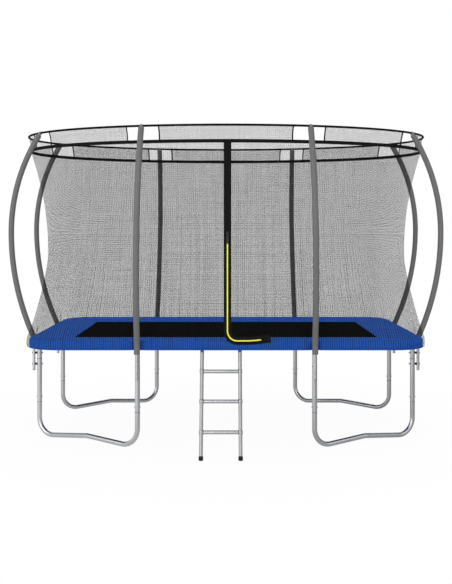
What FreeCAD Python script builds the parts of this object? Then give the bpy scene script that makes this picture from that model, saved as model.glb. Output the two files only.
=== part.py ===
import FreeCAD, Part
import math
import os
import Sketcher

Vector = FreeCAD.Vector
Rotation = FreeCAD.Rotation
Placement = FreeCAD.Placement

os.makedirs("parts", exist_ok=True)
doc = FreeCAD.newDocument("Trampoline")

# Driving dimensions, in millimetres and degrees. Heights are above the ground.
SIZES = [
    ("frame_length", 3274, "between the axes of the two short rails"),
    ("frame_width", 2060, "between the axes of the two long rails"),
    ("frame_height", 842, "axis of the top rails"),
    ("corner_bend", 260, "bend radius of the frame's corners"),
    ("tube_od", 42, "frame and leg tube"),
    ("tube_wall", 1.5, "frame and leg tube"),
    ("side_leg_spacing", 1462, "between the two legs of a long side"),
    ("end_leg_spacing", 1116, "between the two legs of a short end"),
    ("tee_arm", 90, "from a leg's axis to the end of its tee"),
    ("spigot_length", 60, "how far a tube's reduced end enters its neighbour"),
    ("spigot_gap", 0.3, "all round a reduced end"),
    ("tee_step", 0.4, "how much less than the arm the tee's leg measures, all round"),
    ("tee_foot", 676, "lower end of a tee, on its upright"),
    ("base_top", 297, "upper ends of a leg base"),
    ("base_bend", 142, "bend radius from an upright into the leg base"),
    ("base_rise", 31, "how far the middle of a leg base is raised"),
    ("base_kink", 90, "bend radius at the raised middle of a leg base"),
    ("stub_offset", 49, "from a leg's axis out to its net pole"),
    ("stub_od", 25, "net pole tube"),
    ("stub_wall", 1.5, "net pole tube"),
    ("stub_foot", 578, "lower end of a net pole"),
    ("stub_entry", 60, "how far the pole tube enters its foam sleeve"),
    ("upper_bolt_height", 728, "pole bolt"),
    ("lower_bolt_height", 631, "pole bolt"),
    ("bolt_width", 8, "square neck of a pole bolt"),
    ("bolt_gap", 0.3, "all round a bolt's neck"),
    ("bolt_head_width", 13, "across the flats"),
    ("bolt_head_height", 5, "pole bolt"),
    ("spacer_width", 18, "block between pole and leg"),
    ("sleeve_od", 48, "foam sleeve of a net pole"),
    ("sleeve_foot", 782, "lower end of a foam sleeve"),
    ("sleeve_play", 1.3, "between the pole tube and the foam"),
    ("pole_bend", 150, "bend radius where a pole turns outwards"),
    ("kick_height", 859, "where the bowed part of a pole meets its foot's line"),
    ("bulge_height", 1800, "where a pole stands out furthest"),
    ("bulge_reach", 205, "how far it stands out from its foot there"),
    ("ring_length", 3676, "upper ring, on its axis"),
    ("ring_width", 2196, "upper ring, on its axis"),
    ("ring_height", 2664, "upper ring, on its axis"),
    ("ring_section", 17, "upper ring's tunnel of cloth"),
    ("side_pole_turn", 67.6, "where the ring meets a side pole, in degrees"),
    ("end_pole_turn", 26.6, "where the ring meets an end pole, in degrees"),
    ("cap_od", 30, "pole cap"),
    ("cap_length", 33, "pole cap"),
    ("cap_seat", 22, "from a cap's lower end up to the ring's axis"),
    ("cap_round", 5, "edge of a pole cap"),
    ("ring_gap", 0.4, "between the ring and a cap's hole"),
    ("band_length", 3632, "net band"),
    ("band_width", 2166, "net band"),
    ("band_height", 2534, "middle of the net band"),
    ("band_depth", 25, "from its upper to its lower edge"),
    ("band_thickness", 3, "webbing"),
    ("net_thickness", 2, "knitted net"),
    ("net_waist", 98, "how far the net draws in at half its height"),
    ("net_levels", 12, "straight runs that stand for the net's upright arc"),
    ("net_gap", 0.5, "between the net and the pad"),
    ("net_foot", 824, "lower edge of the net"),
    ("net_turn", 897, "where the net leaves the pad"),
    ("net_corner", 260, "corner radius of the net round the pad"),
    ("pole_slot", 2, "between a sleeve and the net or pad round it"),
    ("window_width", 272, "open window round a pole's top"),
    ("edging_width", 12, "binding of a window"),
    ("pad_length", 3350, "outside"),
    ("pad_width", 2140, "outside"),
    ("pad_inner_length", 2600, "opening over the mat"),
    ("pad_inner_width", 1310, "opening over the mat"),
    ("pad_corner", 300, "outer corner radius"),
    ("pad_foot", 818, "lower edge of the skirt"),
    ("pad_under", 869, "underside of the foam"),
    ("pad_crown", 892, "highest line of the foam"),
    ("pad_edge", 877, "top of the inner edge"),
    ("pad_roll", 20, "radius of the rolled outer edge"),
    ("pad_gap", 0.4, "between the skirt and the frame tube"),
    ("mat_length", 2850, "jumping mat"),
    ("mat_width", 1640, "jumping mat"),
    ("mat_corner", 60, "corner radius"),
    ("mat_top", 868, "upper face of the mat"),
    ("mat_thickness", 3, "woven cloth"),
    ("hem_width", 50, "webbing along the mat's edge"),
    ("hem_thickness", 6, "webbing along the mat's edge"),
    ("spring_width", 20, "spring, across its corners"),
    ("spring_height", 855, "axis of the springs"),
    ("spring_gap", 0.4, "at each end of a spring"),
    ("side_springs", 26, "springs of a long side"),
    ("end_springs", 14, "springs of a short side"),
    ("spring_margin", 95, "from a corner of the mat to the first spring"),
    ("ladder_shift", -41, "middle of the ladder, along the side"),
    ("ladder_width", 311, "between the axes of its rails"),
    ("ladder_reach", 388, "how far its feet stand out from the frame tube"),
    ("rail_od", 30, "ladder rail"),
    ("rail_wall", 1.5, "ladder rail"),
    ("rail_start", 58, "from the frame tube's axis to the top of a rail"),
    ("rung_od", 27, "ladder rung"),
    ("first_rung", 649, "height of the top rung"),
    ("rung_pitch", 225, "between rungs, in height"),
    ("collar_od", 37, "collar round a ladder rail"),
    ("collar_length", 34, "collar round a ladder rail"),
    ("foot_od", 36, "ladder foot"),
    ("foot_length", 44, "ladder foot"),
    ("foot_sole", 5, "rubber under a ladder rail"),
    ("hook_gap", 0.4, "between a ladder hook and the frame tube"),
    ("hook_thickness", 3, "ladder hook"),
    ("hook_width", 25, "ladder hook"),
    ("hook_wrap", 205, "how far a hook goes round the frame tube, in degrees"),
    ("zip_shift", 12, "upright stretch of the zip, from the middle"),
    ("tape_width", 63, "zip tape"),
    ("tape_thickness", 1.2, "zip tape"),
    ("zip_width", 12, "zip teeth"),
    ("zip_thickness", 1.6, "zip teeth"),
    ("zip_top", 1790, "upper end of the teeth"),
    ("zip_level", 893, "level stretch of the zip"),
    ("zip_bend", 80, "bend between the upright and the level stretch"),
    ("zip_flat", 70, "straight part of the level stretch"),
    ("zip_sweep", 880, "bend radius of the level stretch's rising end"),
    ("zip_end_turn", 8.2, "how far the end rises, in degrees"),
    ("tab_length", 82, "plain tape past the end of the teeth"),
    ("tab_width", 65, "plain tape past the end of the teeth"),
    ("slider_length", 30, "zip slider"),
    ("slider_width", 20, "zip slider"),
    ("slider_thickness", 5, "zip slider"),
    ("lug_height", 7, "ears that hold the zip pull"),
    ("lug_width", 3, "ears that hold the zip pull"),
    ("pull_pin", 2.4, "pin through the ears"),
    ("pull_length", 84, "zip pull"),
    ("pull_width", 20, "zip pull"),
    ("pull_neck", 7, "narrow end of the zip pull, between the ears"),
    ("pull_thickness", 2.6, "zip pull"),
    ("running_gap", 0.4, "between pieces that slide or swing past each other"),
]

sheet = doc.addObject("Spreadsheet::Sheet", "Sizes")
for row, (name, amount, note) in enumerate(SIZES, start=1):
    sheet.set("A%d" % row, str(amount))
    sheet.setAlias("A%d" % row, name)
    sheet.set("B%d" % row, note)
doc.recompute()


def size(name):
    return float(getattr(sheet, name))


# Places worked out from the sizes
TUBE_R = size("tube_od") / 2
BORE_R = TUBE_R - size("tube_wall")
SPIGOT_R = BORE_R - size("spigot_gap")
STUB_R = size("stub_od") / 2
SLEEVE_R = size("sleeve_od") / 2
HALF_LENGTH = size("frame_length") / 2
HALF_WIDTH = size("frame_width") / 2
SIDE_LEG_X = size("side_leg_spacing") / 2
END_LEG_Y = size("end_leg_spacing") / 2
FRAME_Z = size("frame_height")
POLE_OUT = size("stub_offset")
LADDER_LEAN = math.degrees(math.atan2(size("ladder_reach"), FRAME_Z))
LADDER_LENGTH = math.hypot(size("ladder_reach"), FRAME_Z)

# The origin lies under the middle of the whole outline, ladder included, so
# everything stands back by half of what the ladder reaches beyond the poles.
LADDER_FRONT = HALF_WIDTH + size("ladder_reach") + size("foot_od") / 2 / math.cos(math.radians(LADDER_LEAN))
POLE_FRONT = HALF_WIDTH + POLE_OUT + size("bulge_reach") + SLEEVE_R
SET_BACK = (LADDER_FRONT - POLE_FRONT) / 2

# Each leg: its name, where its axis stands and which way its pole faces
LEGS = [
    ("front_left", -SIDE_LEG_X, -HALF_WIDTH, 270),
    ("front_right", SIDE_LEG_X, -HALF_WIDTH, 270),
    ("right_front", HALF_LENGTH, -END_LEG_Y, 0),
    ("right_back", HALF_LENGTH, END_LEG_Y, 0),
    ("back_right", SIDE_LEG_X, HALF_WIDTH, 90),
    ("back_left", -SIDE_LEG_X, HALF_WIDTH, 90),
    ("left_back", -HALF_LENGTH, END_LEG_Y, 180),
    ("left_front", -HALF_LENGTH, -END_LEG_Y, 180),
]
CORNERS = [("front_left", -1, -1), ("front_right", 1, -1), ("back_left", -1, 1), ("back_right", 1, 1)]

subparts = []


def at(x, y, z=0.0, turn=0.0, lean=None):
    """A place in the finished model: turned about the upright, then set back."""
    rotation = Rotation(Vector(0, 0, 1), turn)
    if lean is not None:
        rotation = rotation.multiply(Rotation(*lean))
    return Placement(Vector(x, y + SET_BACK, z), rotation)


# Sketches and features
def new_body(label, place):
    body = doc.addObject("PartDesign::Body", label)
    body.Label = label
    body.Placement = place
    return body


def new_sketch(body, name, plane, offset=0.0, offset_rule=None):
    sketch = body.newObject("Sketcher::SketchObject", name)
    origin_plane = next(f for f in body.Origin.OriginFeatures if f.Role == plane)
    sketch.AttachmentSupport = [(origin_plane, "")]
    sketch.MapMode = "FlatFace"
    sketch.AttachmentOffset = Placement(Vector(0, 0, offset), Rotation())
    if offset_rule:
        sketch.setExpression("AttachmentOffset.Base.z", offset_rule)
    return sketch


def bind(sketch, constraint, rule):
    index = sketch.addConstraint(constraint)
    sketch.setExpression("Constraints[%d]" % index, rule)


def draw_circle(sketch, radius, rule, x=0.0, y=0.0):
    circle = sketch.addGeometry(Part.Circle(Vector(x, y, 0), Vector(0, 0, 1), radius))
    if x == 0 and y == 0:
        sketch.addConstraint(Sketcher.Constraint("Coincident", circle, 3, -1, 1))
    else:
        sketch.addConstraint(Sketcher.Constraint("DistanceX", -1, 1, circle, 3, x))
        sketch.addConstraint(Sketcher.Constraint("DistanceY", -1, 1, circle, 3, y))
    bind(sketch, Sketcher.Constraint("Radius", circle, radius), rule)


def draw_box(sketch, width, depth, width_rule, depth_rule, x=0.0, y=0.0):
    """A rectangle centred on x, y."""
    corners = [(x - width / 2, y - depth / 2), (x + width / 2, y - depth / 2),
               (x + width / 2, y + depth / 2), (x - width / 2, y + depth / 2)]
    for i, start in enumerate(corners):
        end = corners[(i + 1) % 4]
        sketch.addGeometry(Part.LineSegment(Vector(*start, 0), Vector(*end, 0)))
    for i in range(4):
        sketch.addConstraint(Sketcher.Constraint("Coincident", i, 2, (i + 1) % 4, 1))
        sketch.addConstraint(Sketcher.Constraint("Horizontal" if i % 2 == 0 else "Vertical", i))
    bind(sketch, Sketcher.Constraint("DistanceX", 0, 1, 0, 2, width), width_rule)
    bind(sketch, Sketcher.Constraint("DistanceY", 1, 1, 1, 2, depth), depth_rule)
    sketch.addConstraint(Sketcher.Constraint("DistanceX", -1, 1, 0, 1, corners[0][0]))
    sketch.addConstraint(Sketcher.Constraint("DistanceY", -1, 1, 0, 1, corners[0][1]))


def draw_path(sketch, pieces):
    """Straight runs and arcs, each (start, end) or (centre, radius, from, to), held fixed."""
    for piece in pieces:
        if len(piece) == 2:
            start, end = piece
            index = sketch.addGeometry(Part.LineSegment(Vector(*start, 0), Vector(*end, 0)))
        else:
            centre, radius, first, last = piece
            circle = Part.Circle(Vector(*centre, 0), Vector(0, 0, 1), radius)
            index = sketch.addGeometry(Part.ArcOfCircle(circle, math.radians(first), math.radians(last)))
        sketch.addConstraint(Sketcher.Constraint("Block", index))


def add_pad(body, sketch, length, rule, symmetric=False):
    pad = body.newObject("PartDesign::Pad", "Pad")
    pad.Profile = sketch
    pad.Length = length
    if rule:
        pad.setExpression("Length", rule)
    pad.SideType = "Symmetric" if symmetric else "One side"
    return pad


def add_pocket(body, sketch, length, rule=None, reverse=False, symmetric=False):
    pocket = body.newObject("PartDesign::Pocket", "Pocket")
    pocket.Profile = sketch
    pocket.Length = length
    if rule:
        pocket.setExpression("Length", rule)
    pocket.Reversed = reverse
    pocket.SideType = "Symmetric" if symmetric else "One side"
    return pocket


def add_pipe(body, profile, path):
    pipe = body.newObject("PartDesign::AdditivePipe", "Bent_tube")
    pipe.Profile = profile
    pipe.Spine = path
    return pipe


def keep(thing):
    subparts.append(thing)
    return thing


def keep_shape(label, shape):
    """A sub-part whose shape is made with Part's own functions, in place."""
    thing = doc.addObject("Part::Feature", label)
    thing.Label = label
    thing.Shape = shape
    thing.Placement = at(0, 0)
    return keep(thing)


def group(shapes):
    return Part.makeCompound(shapes)


def prism(points, push):
    """A closed outline of points, pushed along a vector."""
    return Part.Face(Part.makePolygon(points + points[:1])).extrude(push)


def closed_solid(faces):
    """Faces that close a space, sewn to one solid with its material inside."""
    skin = Part.makeCompound(faces)
    skin.sewShape()
    solid = Part.makeSolid(Part.Shell(skin.Faces))
    if solid.Volume < 0:
        solid.reverse()
    return solid


def straight_tube(label, place, length, rule, outer_rule, bore_rule, outer, bore):
    """A length of tube along its own Z."""
    body = new_body(label, place)
    section = new_sketch(body, "Section", "XY_Plane")
    draw_circle(section, outer, outer_rule)
    draw_circle(section, bore, bore_rule)
    add_pad(body, section, length, rule)
    return body


# Top frame: rails, bent corners and the tees that join them to the legs
def make_rails():
    tube_rules = ("Sizes.tube_od / 2", "Sizes.tube_od / 2 - Sizes.tube_wall")
    level = (Vector(0, 1, 0), 90)
    side_run = size("side_leg_spacing") - 2 * size("tee_arm")
    end_run = size("end_leg_spacing") - 2 * size("tee_arm")
    for name, y in (("front", -HALF_WIDTH), ("back", HALF_WIDTH)):
        keep(straight_tube("rail_" + name, at(-side_run / 2, y, FRAME_Z, 0, level), side_run,
                           "Sizes.side_leg_spacing - 2 * Sizes.tee_arm", *tube_rules, TUBE_R, BORE_R))
    for name, x in (("left", -HALF_LENGTH), ("right", HALF_LENGTH)):
        keep(straight_tube("rail_" + name, at(x, -end_run / 2, FRAME_Z, 90, level), end_run,
                           "Sizes.end_leg_spacing - 2 * Sizes.tee_arm", *tube_rules, TUBE_R, BORE_R))


def make_corner(name, sx, sy):
    """Bent tube from a side tee to an end tee, drawn for the back right corner."""
    bend = size("corner_bend")
    side_end = SIDE_LEG_X + size("tee_arm")
    end_end = END_LEG_Y + size("tee_arm")
    turn = {(1, 1): 0, (-1, -1): 180}.get((sx, sy))
    mirrored = turn is None
    body = new_body("corner_" + name, at(0, 0, FRAME_Z))
    section = new_sketch(body, "Section", "YZ_Plane", sx * side_end)
    draw_circle(section, TUBE_R, "Sizes.tube_od / 2", sy * HALF_WIDTH, 0)
    start = (sx * side_end, sy * HALF_WIDTH)
    straight_end = (sx * (HALF_LENGTH - bend), sy * HALF_WIDTH)
    bend_end = (sx * HALF_LENGTH, sy * (HALF_WIDTH - bend))
    centre = (sx * (HALF_LENGTH - bend), sy * (HALF_WIDTH - bend))
    first = {(1, 1): 0, (-1, 1): 90, (-1, -1): 180, (1, -1): 270}[(sx, sy)]
    path = new_sketch(body, "Path", "XY_Plane")
    draw_path(path, [(start, straight_end), (centre, bend, first, first + 90),
                     (bend_end, (sx * HALF_LENGTH, sy * end_end))])
    add_pipe(body, section, path)
    depth = "Sizes.spigot_length"
    side_bore = new_sketch(body, "Side_bore", "YZ_Plane", sx * side_end)
    draw_circle(side_bore, BORE_R, "Sizes.tube_od / 2 - Sizes.tube_wall", sy * HALF_WIDTH, 0)
    add_pocket(body, side_bore, size("spigot_length"), depth, reverse=sx > 0)
    end_bore = new_sketch(body, "End_bore", "XZ_Plane", -sy * end_end)
    draw_circle(end_bore, BORE_R, "Sizes.tube_od / 2 - Sizes.tube_wall", sx * HALF_LENGTH, 0)
    add_pocket(body, end_bore, size("spigot_length"), depth, reverse=sy < 0)
    return keep(body)


def make_tees():
    """Welded tees: an arm along the rail, a leg down to the upright, reduced ends."""
    arm = size("tee_arm")
    drop = FRAME_Z - size("tee_foot")
    pattern = new_body("tee_pattern", Placement())
    arm_section = new_sketch(pattern, "Arm", "YZ_Plane")
    draw_circle(arm_section, TUBE_R, "Sizes.tube_od / 2")
    add_pad(pattern, arm_section, 2 * arm, "2 * Sizes.tee_arm", symmetric=True)
    arm_spigot = new_sketch(pattern, "Arm_spigots", "YZ_Plane")
    spigot_rule = "Sizes.tube_od / 2 - Sizes.tube_wall - Sizes.spigot_gap"
    draw_circle(arm_spigot, SPIGOT_R, spigot_rule)
    spigot_reach = size("spigot_length") - 1
    add_pad(pattern, arm_spigot, 2 * (arm + spigot_reach), "2 * (Sizes.tee_arm + Sizes.spigot_length - 1)",
            symmetric=True)
    leg_section = new_sketch(pattern, "Leg", "XY_Plane", -drop, "Sizes.tee_foot - Sizes.frame_height")
    draw_circle(leg_section, TUBE_R - size("tee_step"), "Sizes.tube_od / 2 - Sizes.tee_step")
    add_pad(pattern, leg_section, drop - 2, "Sizes.frame_height - Sizes.tee_foot - 2")
    leg_spigot = new_sketch(pattern, "Leg_spigot", "XY_Plane", -drop - size("spigot_length"),
                            "Sizes.tee_foot - Sizes.frame_height - Sizes.spigot_length")
    draw_circle(leg_spigot, SPIGOT_R, spigot_rule)
    add_pad(pattern, leg_spigot, size("spigot_length"), "Sizes.spigot_length")
    doc.recompute()
    tees = []
    for name, x, y, turn in LEGS:
        tee = pattern.Shape.copy()
        tee.Placement = Placement(Vector(x, y, FRAME_Z), Rotation(Vector(0, 0, 1), turn + 90))
        tees.append(tee)
    keep_shape("tee_joints", group(tees))


# Legs: uprights and the bent bases that stand on the ground
def make_upright(name, x, y):
    low, high = size("base_top"), size("tee_foot")
    keep(straight_tube("upright_" + name, at(x, y, low), high - low, "Sizes.tee_foot - Sizes.base_top",
                       "Sizes.tube_od / 2", "Sizes.tube_od / 2 - Sizes.tube_wall", TUBE_R, BORE_R))


def make_leg_base(name, sx, sy):
    """Bent tube between a side upright and an end upright, its middle raised off the ground."""
    run = math.hypot(HALF_LENGTH - SIDE_LEG_X, HALF_WIDTH - END_LEG_Y)
    bend, rise, kink = size("base_bend"), size("base_rise"), size("base_kink")
    top = size("base_top")
    # Straight runs climb from both lower bends and meet in the bend of the raised middle
    low = (bend, TUBE_R + bend)
    high = (run / 2, TUBE_R + rise - kink)
    apart = math.hypot(high[0] - low[0], high[1] - low[1])
    climb = math.atan2(high[1] - low[1], high[0] - low[0]) + math.asin((bend + kink) / apart)
    turn = math.degrees(climb)

    def foot(side):
        return run / 2 + side * (run / 2 - bend - bend * math.sin(climb)), low[1] - bend * math.cos(climb)

    def shoulder(side):
        return run / 2 + side * kink * math.sin(climb), high[1] + kink * math.cos(climb)

    pieces = [((0, top), (0, low[1])),
              (low, bend, 180, 270 + turn),
              (foot(-1), shoulder(-1)),
              (high, kink, 90 - turn, 90 + turn),
              (shoulder(1), foot(1)),
              ((run - bend, low[1]), bend, 270 - turn, 360),
              ((run, low[1]), (run, top))]
    heading = math.degrees(math.atan2(-sy * (HALF_WIDTH - END_LEG_Y), sx * (HALF_LENGTH - SIDE_LEG_X)))
    body = new_body("leg_base_" + name, at(sx * SIDE_LEG_X, sy * HALF_WIDTH, 0, heading))
    section = new_sketch(body, "Section", "XY_Plane", top, "Sizes.base_top")
    draw_circle(section, TUBE_R, "Sizes.tube_od / 2")
    path = new_sketch(body, "Path", "XZ_Plane")
    draw_path(path, pieces)
    add_pipe(body, section, path)
    spigots = new_sketch(body, "Spigots", "XY_Plane", top, "Sizes.base_top")
    spigot_rule = "Sizes.tube_od / 2 - Sizes.tube_wall - Sizes.spigot_gap"
    draw_circle(spigots, SPIGOT_R, spigot_rule)
    draw_circle(spigots, SPIGOT_R, spigot_rule, run, 0)
    add_pad(body, spigots, size("spigot_length"), "Sizes.spigot_length")
    return keep(body)


# Net poles: the bolted foot tube, the bowed foam sleeve and the cap that holds the ring
def ring_point(turn, grow=0.0):
    """A point of the upper ring at a turn in degrees, seen from above."""
    angle = math.radians(turn)
    return Vector((size("ring_length") / 2 + grow) * math.cos(angle),
                  (size("ring_width") / 2 + grow) * math.sin(angle), 0)


def pole_curve(top_reach):
    """Centres, radii and turns of a bowed pole, outward distance against height."""
    reach, level = size("bulge_reach"), size("bulge_height")
    low_drop = level - size("kick_height")
    low_radius = (low_drop ** 2 + reach ** 2) / (2 * reach)
    low_centre = (reach - low_radius, level)
    rise = size("ring_height") - level
    fall = reach - top_reach
    high_radius = (rise ** 2 + fall ** 2) / (2 * fall)
    high_centre = (reach - high_radius, level)
    bend = size("pole_bend")
    apart = low_radius + bend
    bend_level = level - math.sqrt(apart ** 2 - (bend - low_centre[0]) ** 2)
    bend_turn = math.degrees(math.acos((bend - low_centre[0]) / apart))
    high_turn = math.degrees(math.asin(rise / high_radius)) - math.degrees(size("cap_seat") / high_radius)
    return low_centre, low_radius, high_centre, high_radius, bend_level, bend_turn, high_turn


def pole_target(x, y, turn):
    """Where the ring passes this pole: outwards from the pole's foot, and along the side."""
    ends = turn in (0, 180)
    side_turn = size("end_pole_turn") if ends else size("side_pole_turn")
    spot = ring_point(side_turn)
    if ends:
        return spot.x - HALF_LENGTH - POLE_OUT, END_LEG_Y - spot.y, math.copysign(1, y)
    return spot.y - HALF_WIDTH - POLE_OUT, SIDE_LEG_X - spot.x, math.copysign(1, x)


def pole_place(x, y, turn, leaning):
    """The pole's foot line, standing or leaning along the side to meet the ring."""
    heading = math.radians(turn)
    base_x = x + POLE_OUT * math.cos(heading)
    base_y = y + POLE_OUT * math.sin(heading)
    top_reach, along, outer_side = pole_target(x, y, turn)
    pivot = size("sleeve_foot") + size("stub_entry") / 2
    lean = math.degrees(math.atan2(along, size("ring_height") - pivot)) if leaning else 0.0
    # The local Y axis runs along the side, so its sign tells which way is outwards
    side_axis = Vector(-math.sin(heading), math.cos(heading), 0)
    lean *= math.copysign(1, side_axis.x * x + side_axis.y * y)
    return base_x, base_y, pivot, lean


def make_pole(name, x, y, turn):
    """Foot tube of a net pole, with the square holes of its two bolts."""
    base_x, base_y, pivot, lean = pole_place(x, y, turn, False)
    foot = size("stub_foot")
    top = size("sleeve_foot") + size("stub_entry")
    body = straight_tube("pole_" + name, at(base_x, base_y, foot, turn), top - foot,
                         "Sizes.sleeve_foot + Sizes.stub_entry - Sizes.stub_foot",
                         "Sizes.stub_od / 2", "Sizes.stub_od / 2 - Sizes.stub_wall",
                         STUB_R, STUB_R - size("stub_wall"))
    hole = size("bolt_width") + 2 * size("bolt_gap")
    hole_rule = "Sizes.bolt_width + 2 * Sizes.bolt_gap"
    for level in ("lower_bolt_height", "upper_bolt_height"):
        sketch = new_sketch(body, "Bolt_hole", "YZ_Plane")
        draw_box(sketch, hole, hole, hole_rule, hole_rule, 0, size(level) - foot)
        add_pocket(body, sketch, 2 * size("stub_od"), "2 * Sizes.stub_od", symmetric=True)
    return keep(body)


def make_sleeve(name, x, y, turn):
    """Foam sleeve, bowed out and back in, with the bore that takes the foot tube."""
    base_x, base_y, pivot, lean = pole_place(x, y, turn, True)
    top_reach = pole_target(x, y, turn)[0]
    low_centre, low_radius, high_centre, high_radius, bend_level, bend_turn, high_turn = pole_curve(top_reach)
    foot = size("sleeve_foot")
    body = new_body("sleeve_" + name, at(base_x, base_y, pivot, turn, (Vector(1, 0, 0), lean)))
    section = new_sketch(body, "Section", "XY_Plane", foot - pivot, "-Sizes.stub_entry / 2")
    draw_circle(section, SLEEVE_R, "Sizes.sleeve_od / 2")
    path = new_sketch(body, "Path", "XZ_Plane")
    bend = size("pole_bend")
    draw_path(path, [((0, foot - pivot), (0, bend_level - pivot)),
                     ((bend, bend_level - pivot), bend, 180 - bend_turn, 180),
                     ((low_centre[0], low_centre[1] - pivot), low_radius, -bend_turn, 0),
                     ((high_centre[0], high_centre[1] - pivot), high_radius, 0, high_turn)])
    add_pipe(body, section, path)
    bore = new_sketch(body, "Bore", "XY_Plane", foot - pivot, "-Sizes.stub_entry / 2")
    draw_circle(bore, STUB_R + size("sleeve_play"), "Sizes.stub_od / 2 + Sizes.sleeve_play")
    add_pocket(body, bore, size("stub_entry") + 1, "Sizes.stub_entry + 1", reverse=True)
    return keep(body)


def eight_sides(half):
    """Corners of an eight-sided section, outwards and upwards, that is 2 x half across its flats."""
    flat = half * math.tan(math.radians(22.5))
    return [(half, -flat), (half, flat), (flat, half), (-flat, half),
            (-half, flat), (-half, -flat), (-flat, -half), (flat, -half)]


def make_ring():
    """Upper ring: an eight-sided tunnel of cloth round its rods."""
    level = size("ring_height")
    corners = eight_sides(size("ring_section") / 2)
    edges = [Part.Ellipse(Vector(0, 0, level + up), size("ring_length") / 2 + out,
                          size("ring_width") / 2 + out).toShape() for out, up in corners]
    faces = [Part.makeRuledSurface(edges[i], edges[(i + 1) % len(edges)]) for i in range(len(edges))]
    keep_shape("upper_ring", Part.makeSolid(Part.makeShell(faces)))


def draw_ellipse(sketch, name, grow, grow_rule):
    half_length = size(name + "_length") / 2 + grow
    half_width = size(name + "_width") / 2 + grow
    ellipse = sketch.addGeometry(Part.Ellipse(Vector(0, 0, 0), half_length, half_width))
    sketch.exposeInternalGeometry(ellipse)
    sketch.addConstraint(Sketcher.Constraint("Coincident", ellipse, 3, -1, 1))
    sketch.addConstraint(Sketcher.Constraint("Horizontal", ellipse + 1))
    bind(sketch, Sketcher.Constraint("DistanceX", ellipse + 1, 2, ellipse + 1, 1, 2 * half_length),
         "Sizes.%s_length + 2 * (0 %s)" % (name, grow_rule))
    bind(sketch, Sketcher.Constraint("DistanceY", ellipse + 2, 2, ellipse + 2, 1, 2 * half_width),
         "Sizes.%s_width + 2 * (0 %s)" % (name, grow_rule))


def make_caps():
    """Pole caps: each sits on its sleeve's end and the ring passes through it."""
    radius, length, bevel = size("cap_od") / 2, size("cap_length"), size("cap_round")
    profile = [Vector(0, 0, 0), Vector(radius, 0, 0), Vector(radius, 0, length - bevel),
               Vector(radius - 0.3 * bevel, 0, length - 0.3 * bevel), Vector(radius - bevel, 0, length),
               Vector(0, 0, length)]
    turned = Part.Face(Part.makePolygon(profile + profile[:1])).revolve(Vector(), Vector(0, 0, 1), 360)
    tunnel = eight_sides(size("ring_section") / 2 + size("ring_gap"))
    caps = []
    for name, x, y, turn in LEGS:
        base_x, base_y, pivot, lean = pole_place(x, y, turn, True)
        curve = pole_curve(pole_target(x, y, turn)[0])
        high_centre, high_radius, high_turn = curve[2], curve[3], curve[6]
        angle = math.radians(high_turn)
        spot = Placement(Vector(high_centre[0] + high_radius * math.cos(angle), 0,
                                high_centre[1] + high_radius * math.sin(angle) - pivot),
                         Rotation(Vector(0, 1, 0), -high_turn))
        pole = Placement(Vector(base_x, base_y, pivot),
                         Rotation(Vector(0, 0, 1), turn).multiply(Rotation(Vector(1, 0, 0), lean)))
        cap = turned.copy()
        cap.Placement = pole.multiply(spot)
        ring_turn = size("end_pole_turn") if turn in (0, 180) else size("side_pole_turn")
        spot = ring_point(ring_turn)
        spot = Vector(math.copysign(spot.x, x), math.copysign(spot.y, y), size("ring_height"))
        outward = Vector(spot.x / size("ring_length") ** 2, spot.y / size("ring_width") ** 2, 0).normalize()
        along = Vector(-outward.y, outward.x, 0)
        start = spot - along * 2 * radius
        section = [start + outward * out + Vector(0, 0, up) for out, up in tunnel]
        caps.append(cap.cut(prism(section, along * 4 * radius)))
    keep_shape("pole_caps", group(caps))


def make_fixings():
    """Pole bolts with hexagon heads and square necks, and the blocks they clamp."""
    neck, head = size("bolt_width"), size("bolt_head_width")
    reach = POLE_OUT + STUB_R
    gap_width = POLE_OUT - STUB_R - TUBE_R
    block = size("spacer_width")
    hole = neck + 2 * size("bolt_gap")
    bolts, blocks = [], []
    for name, x, y, turn in LEGS:
        for level in ("lower_bolt_height", "upper_bolt_height"):
            place = Placement(Vector(x, y, size(level)), Rotation(Vector(0, 0, 1), turn))
            shank = Part.makeBox(reach - TUBE_R, neck, neck, Vector(TUBE_R, -neck / 2, -neck / 2))
            corner = head / math.sqrt(3)
            outline = [Vector(reach, corner * math.cos(math.radians(60 * i)), corner * math.sin(math.radians(60 * i)))
                       for i in range(6)]
            bolt = shank.fuse(prism(outline, Vector(size("bolt_head_height"), 0, 0)))
            spacer = Part.makeBox(gap_width, block, block, Vector(TUBE_R, -block / 2, -block / 2))
            spacer = spacer.cut(Part.makeBox(gap_width, hole, hole, Vector(TUBE_R, -hole / 2, -hole / 2)))
            for shape, store in ((bolt, bolts), (spacer, blocks)):
                shape.Placement = place
                store.append(shape)
    keep_shape("pole_bolts", group(bolts))
    keep_shape("pole_spacers", group(blocks))


# Net: the band, the collar up to the ring, the walls and the window edging
def oval_point(turn, length, width, height, grow=0.0):
    angle = math.radians(turn)
    return Vector((length / 2 + grow) * math.cos(angle), (width / 2 + grow) * math.sin(angle), height)


def make_band():
    body = new_body("net_band", at(0, 0, size("band_height")))
    sketch = new_sketch(body, "Outline", "XY_Plane", -size("band_depth") / 2, "-Sizes.band_depth / 2")
    draw_ellipse(sketch, "band", size("band_thickness") / 2, "+ Sizes.band_thickness / 2")
    draw_ellipse(sketch, "band", -size("band_thickness") / 2, "- Sizes.band_thickness / 2")
    add_pad(body, sketch, size("band_depth"), "Sizes.band_depth")
    return keep(body)


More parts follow.
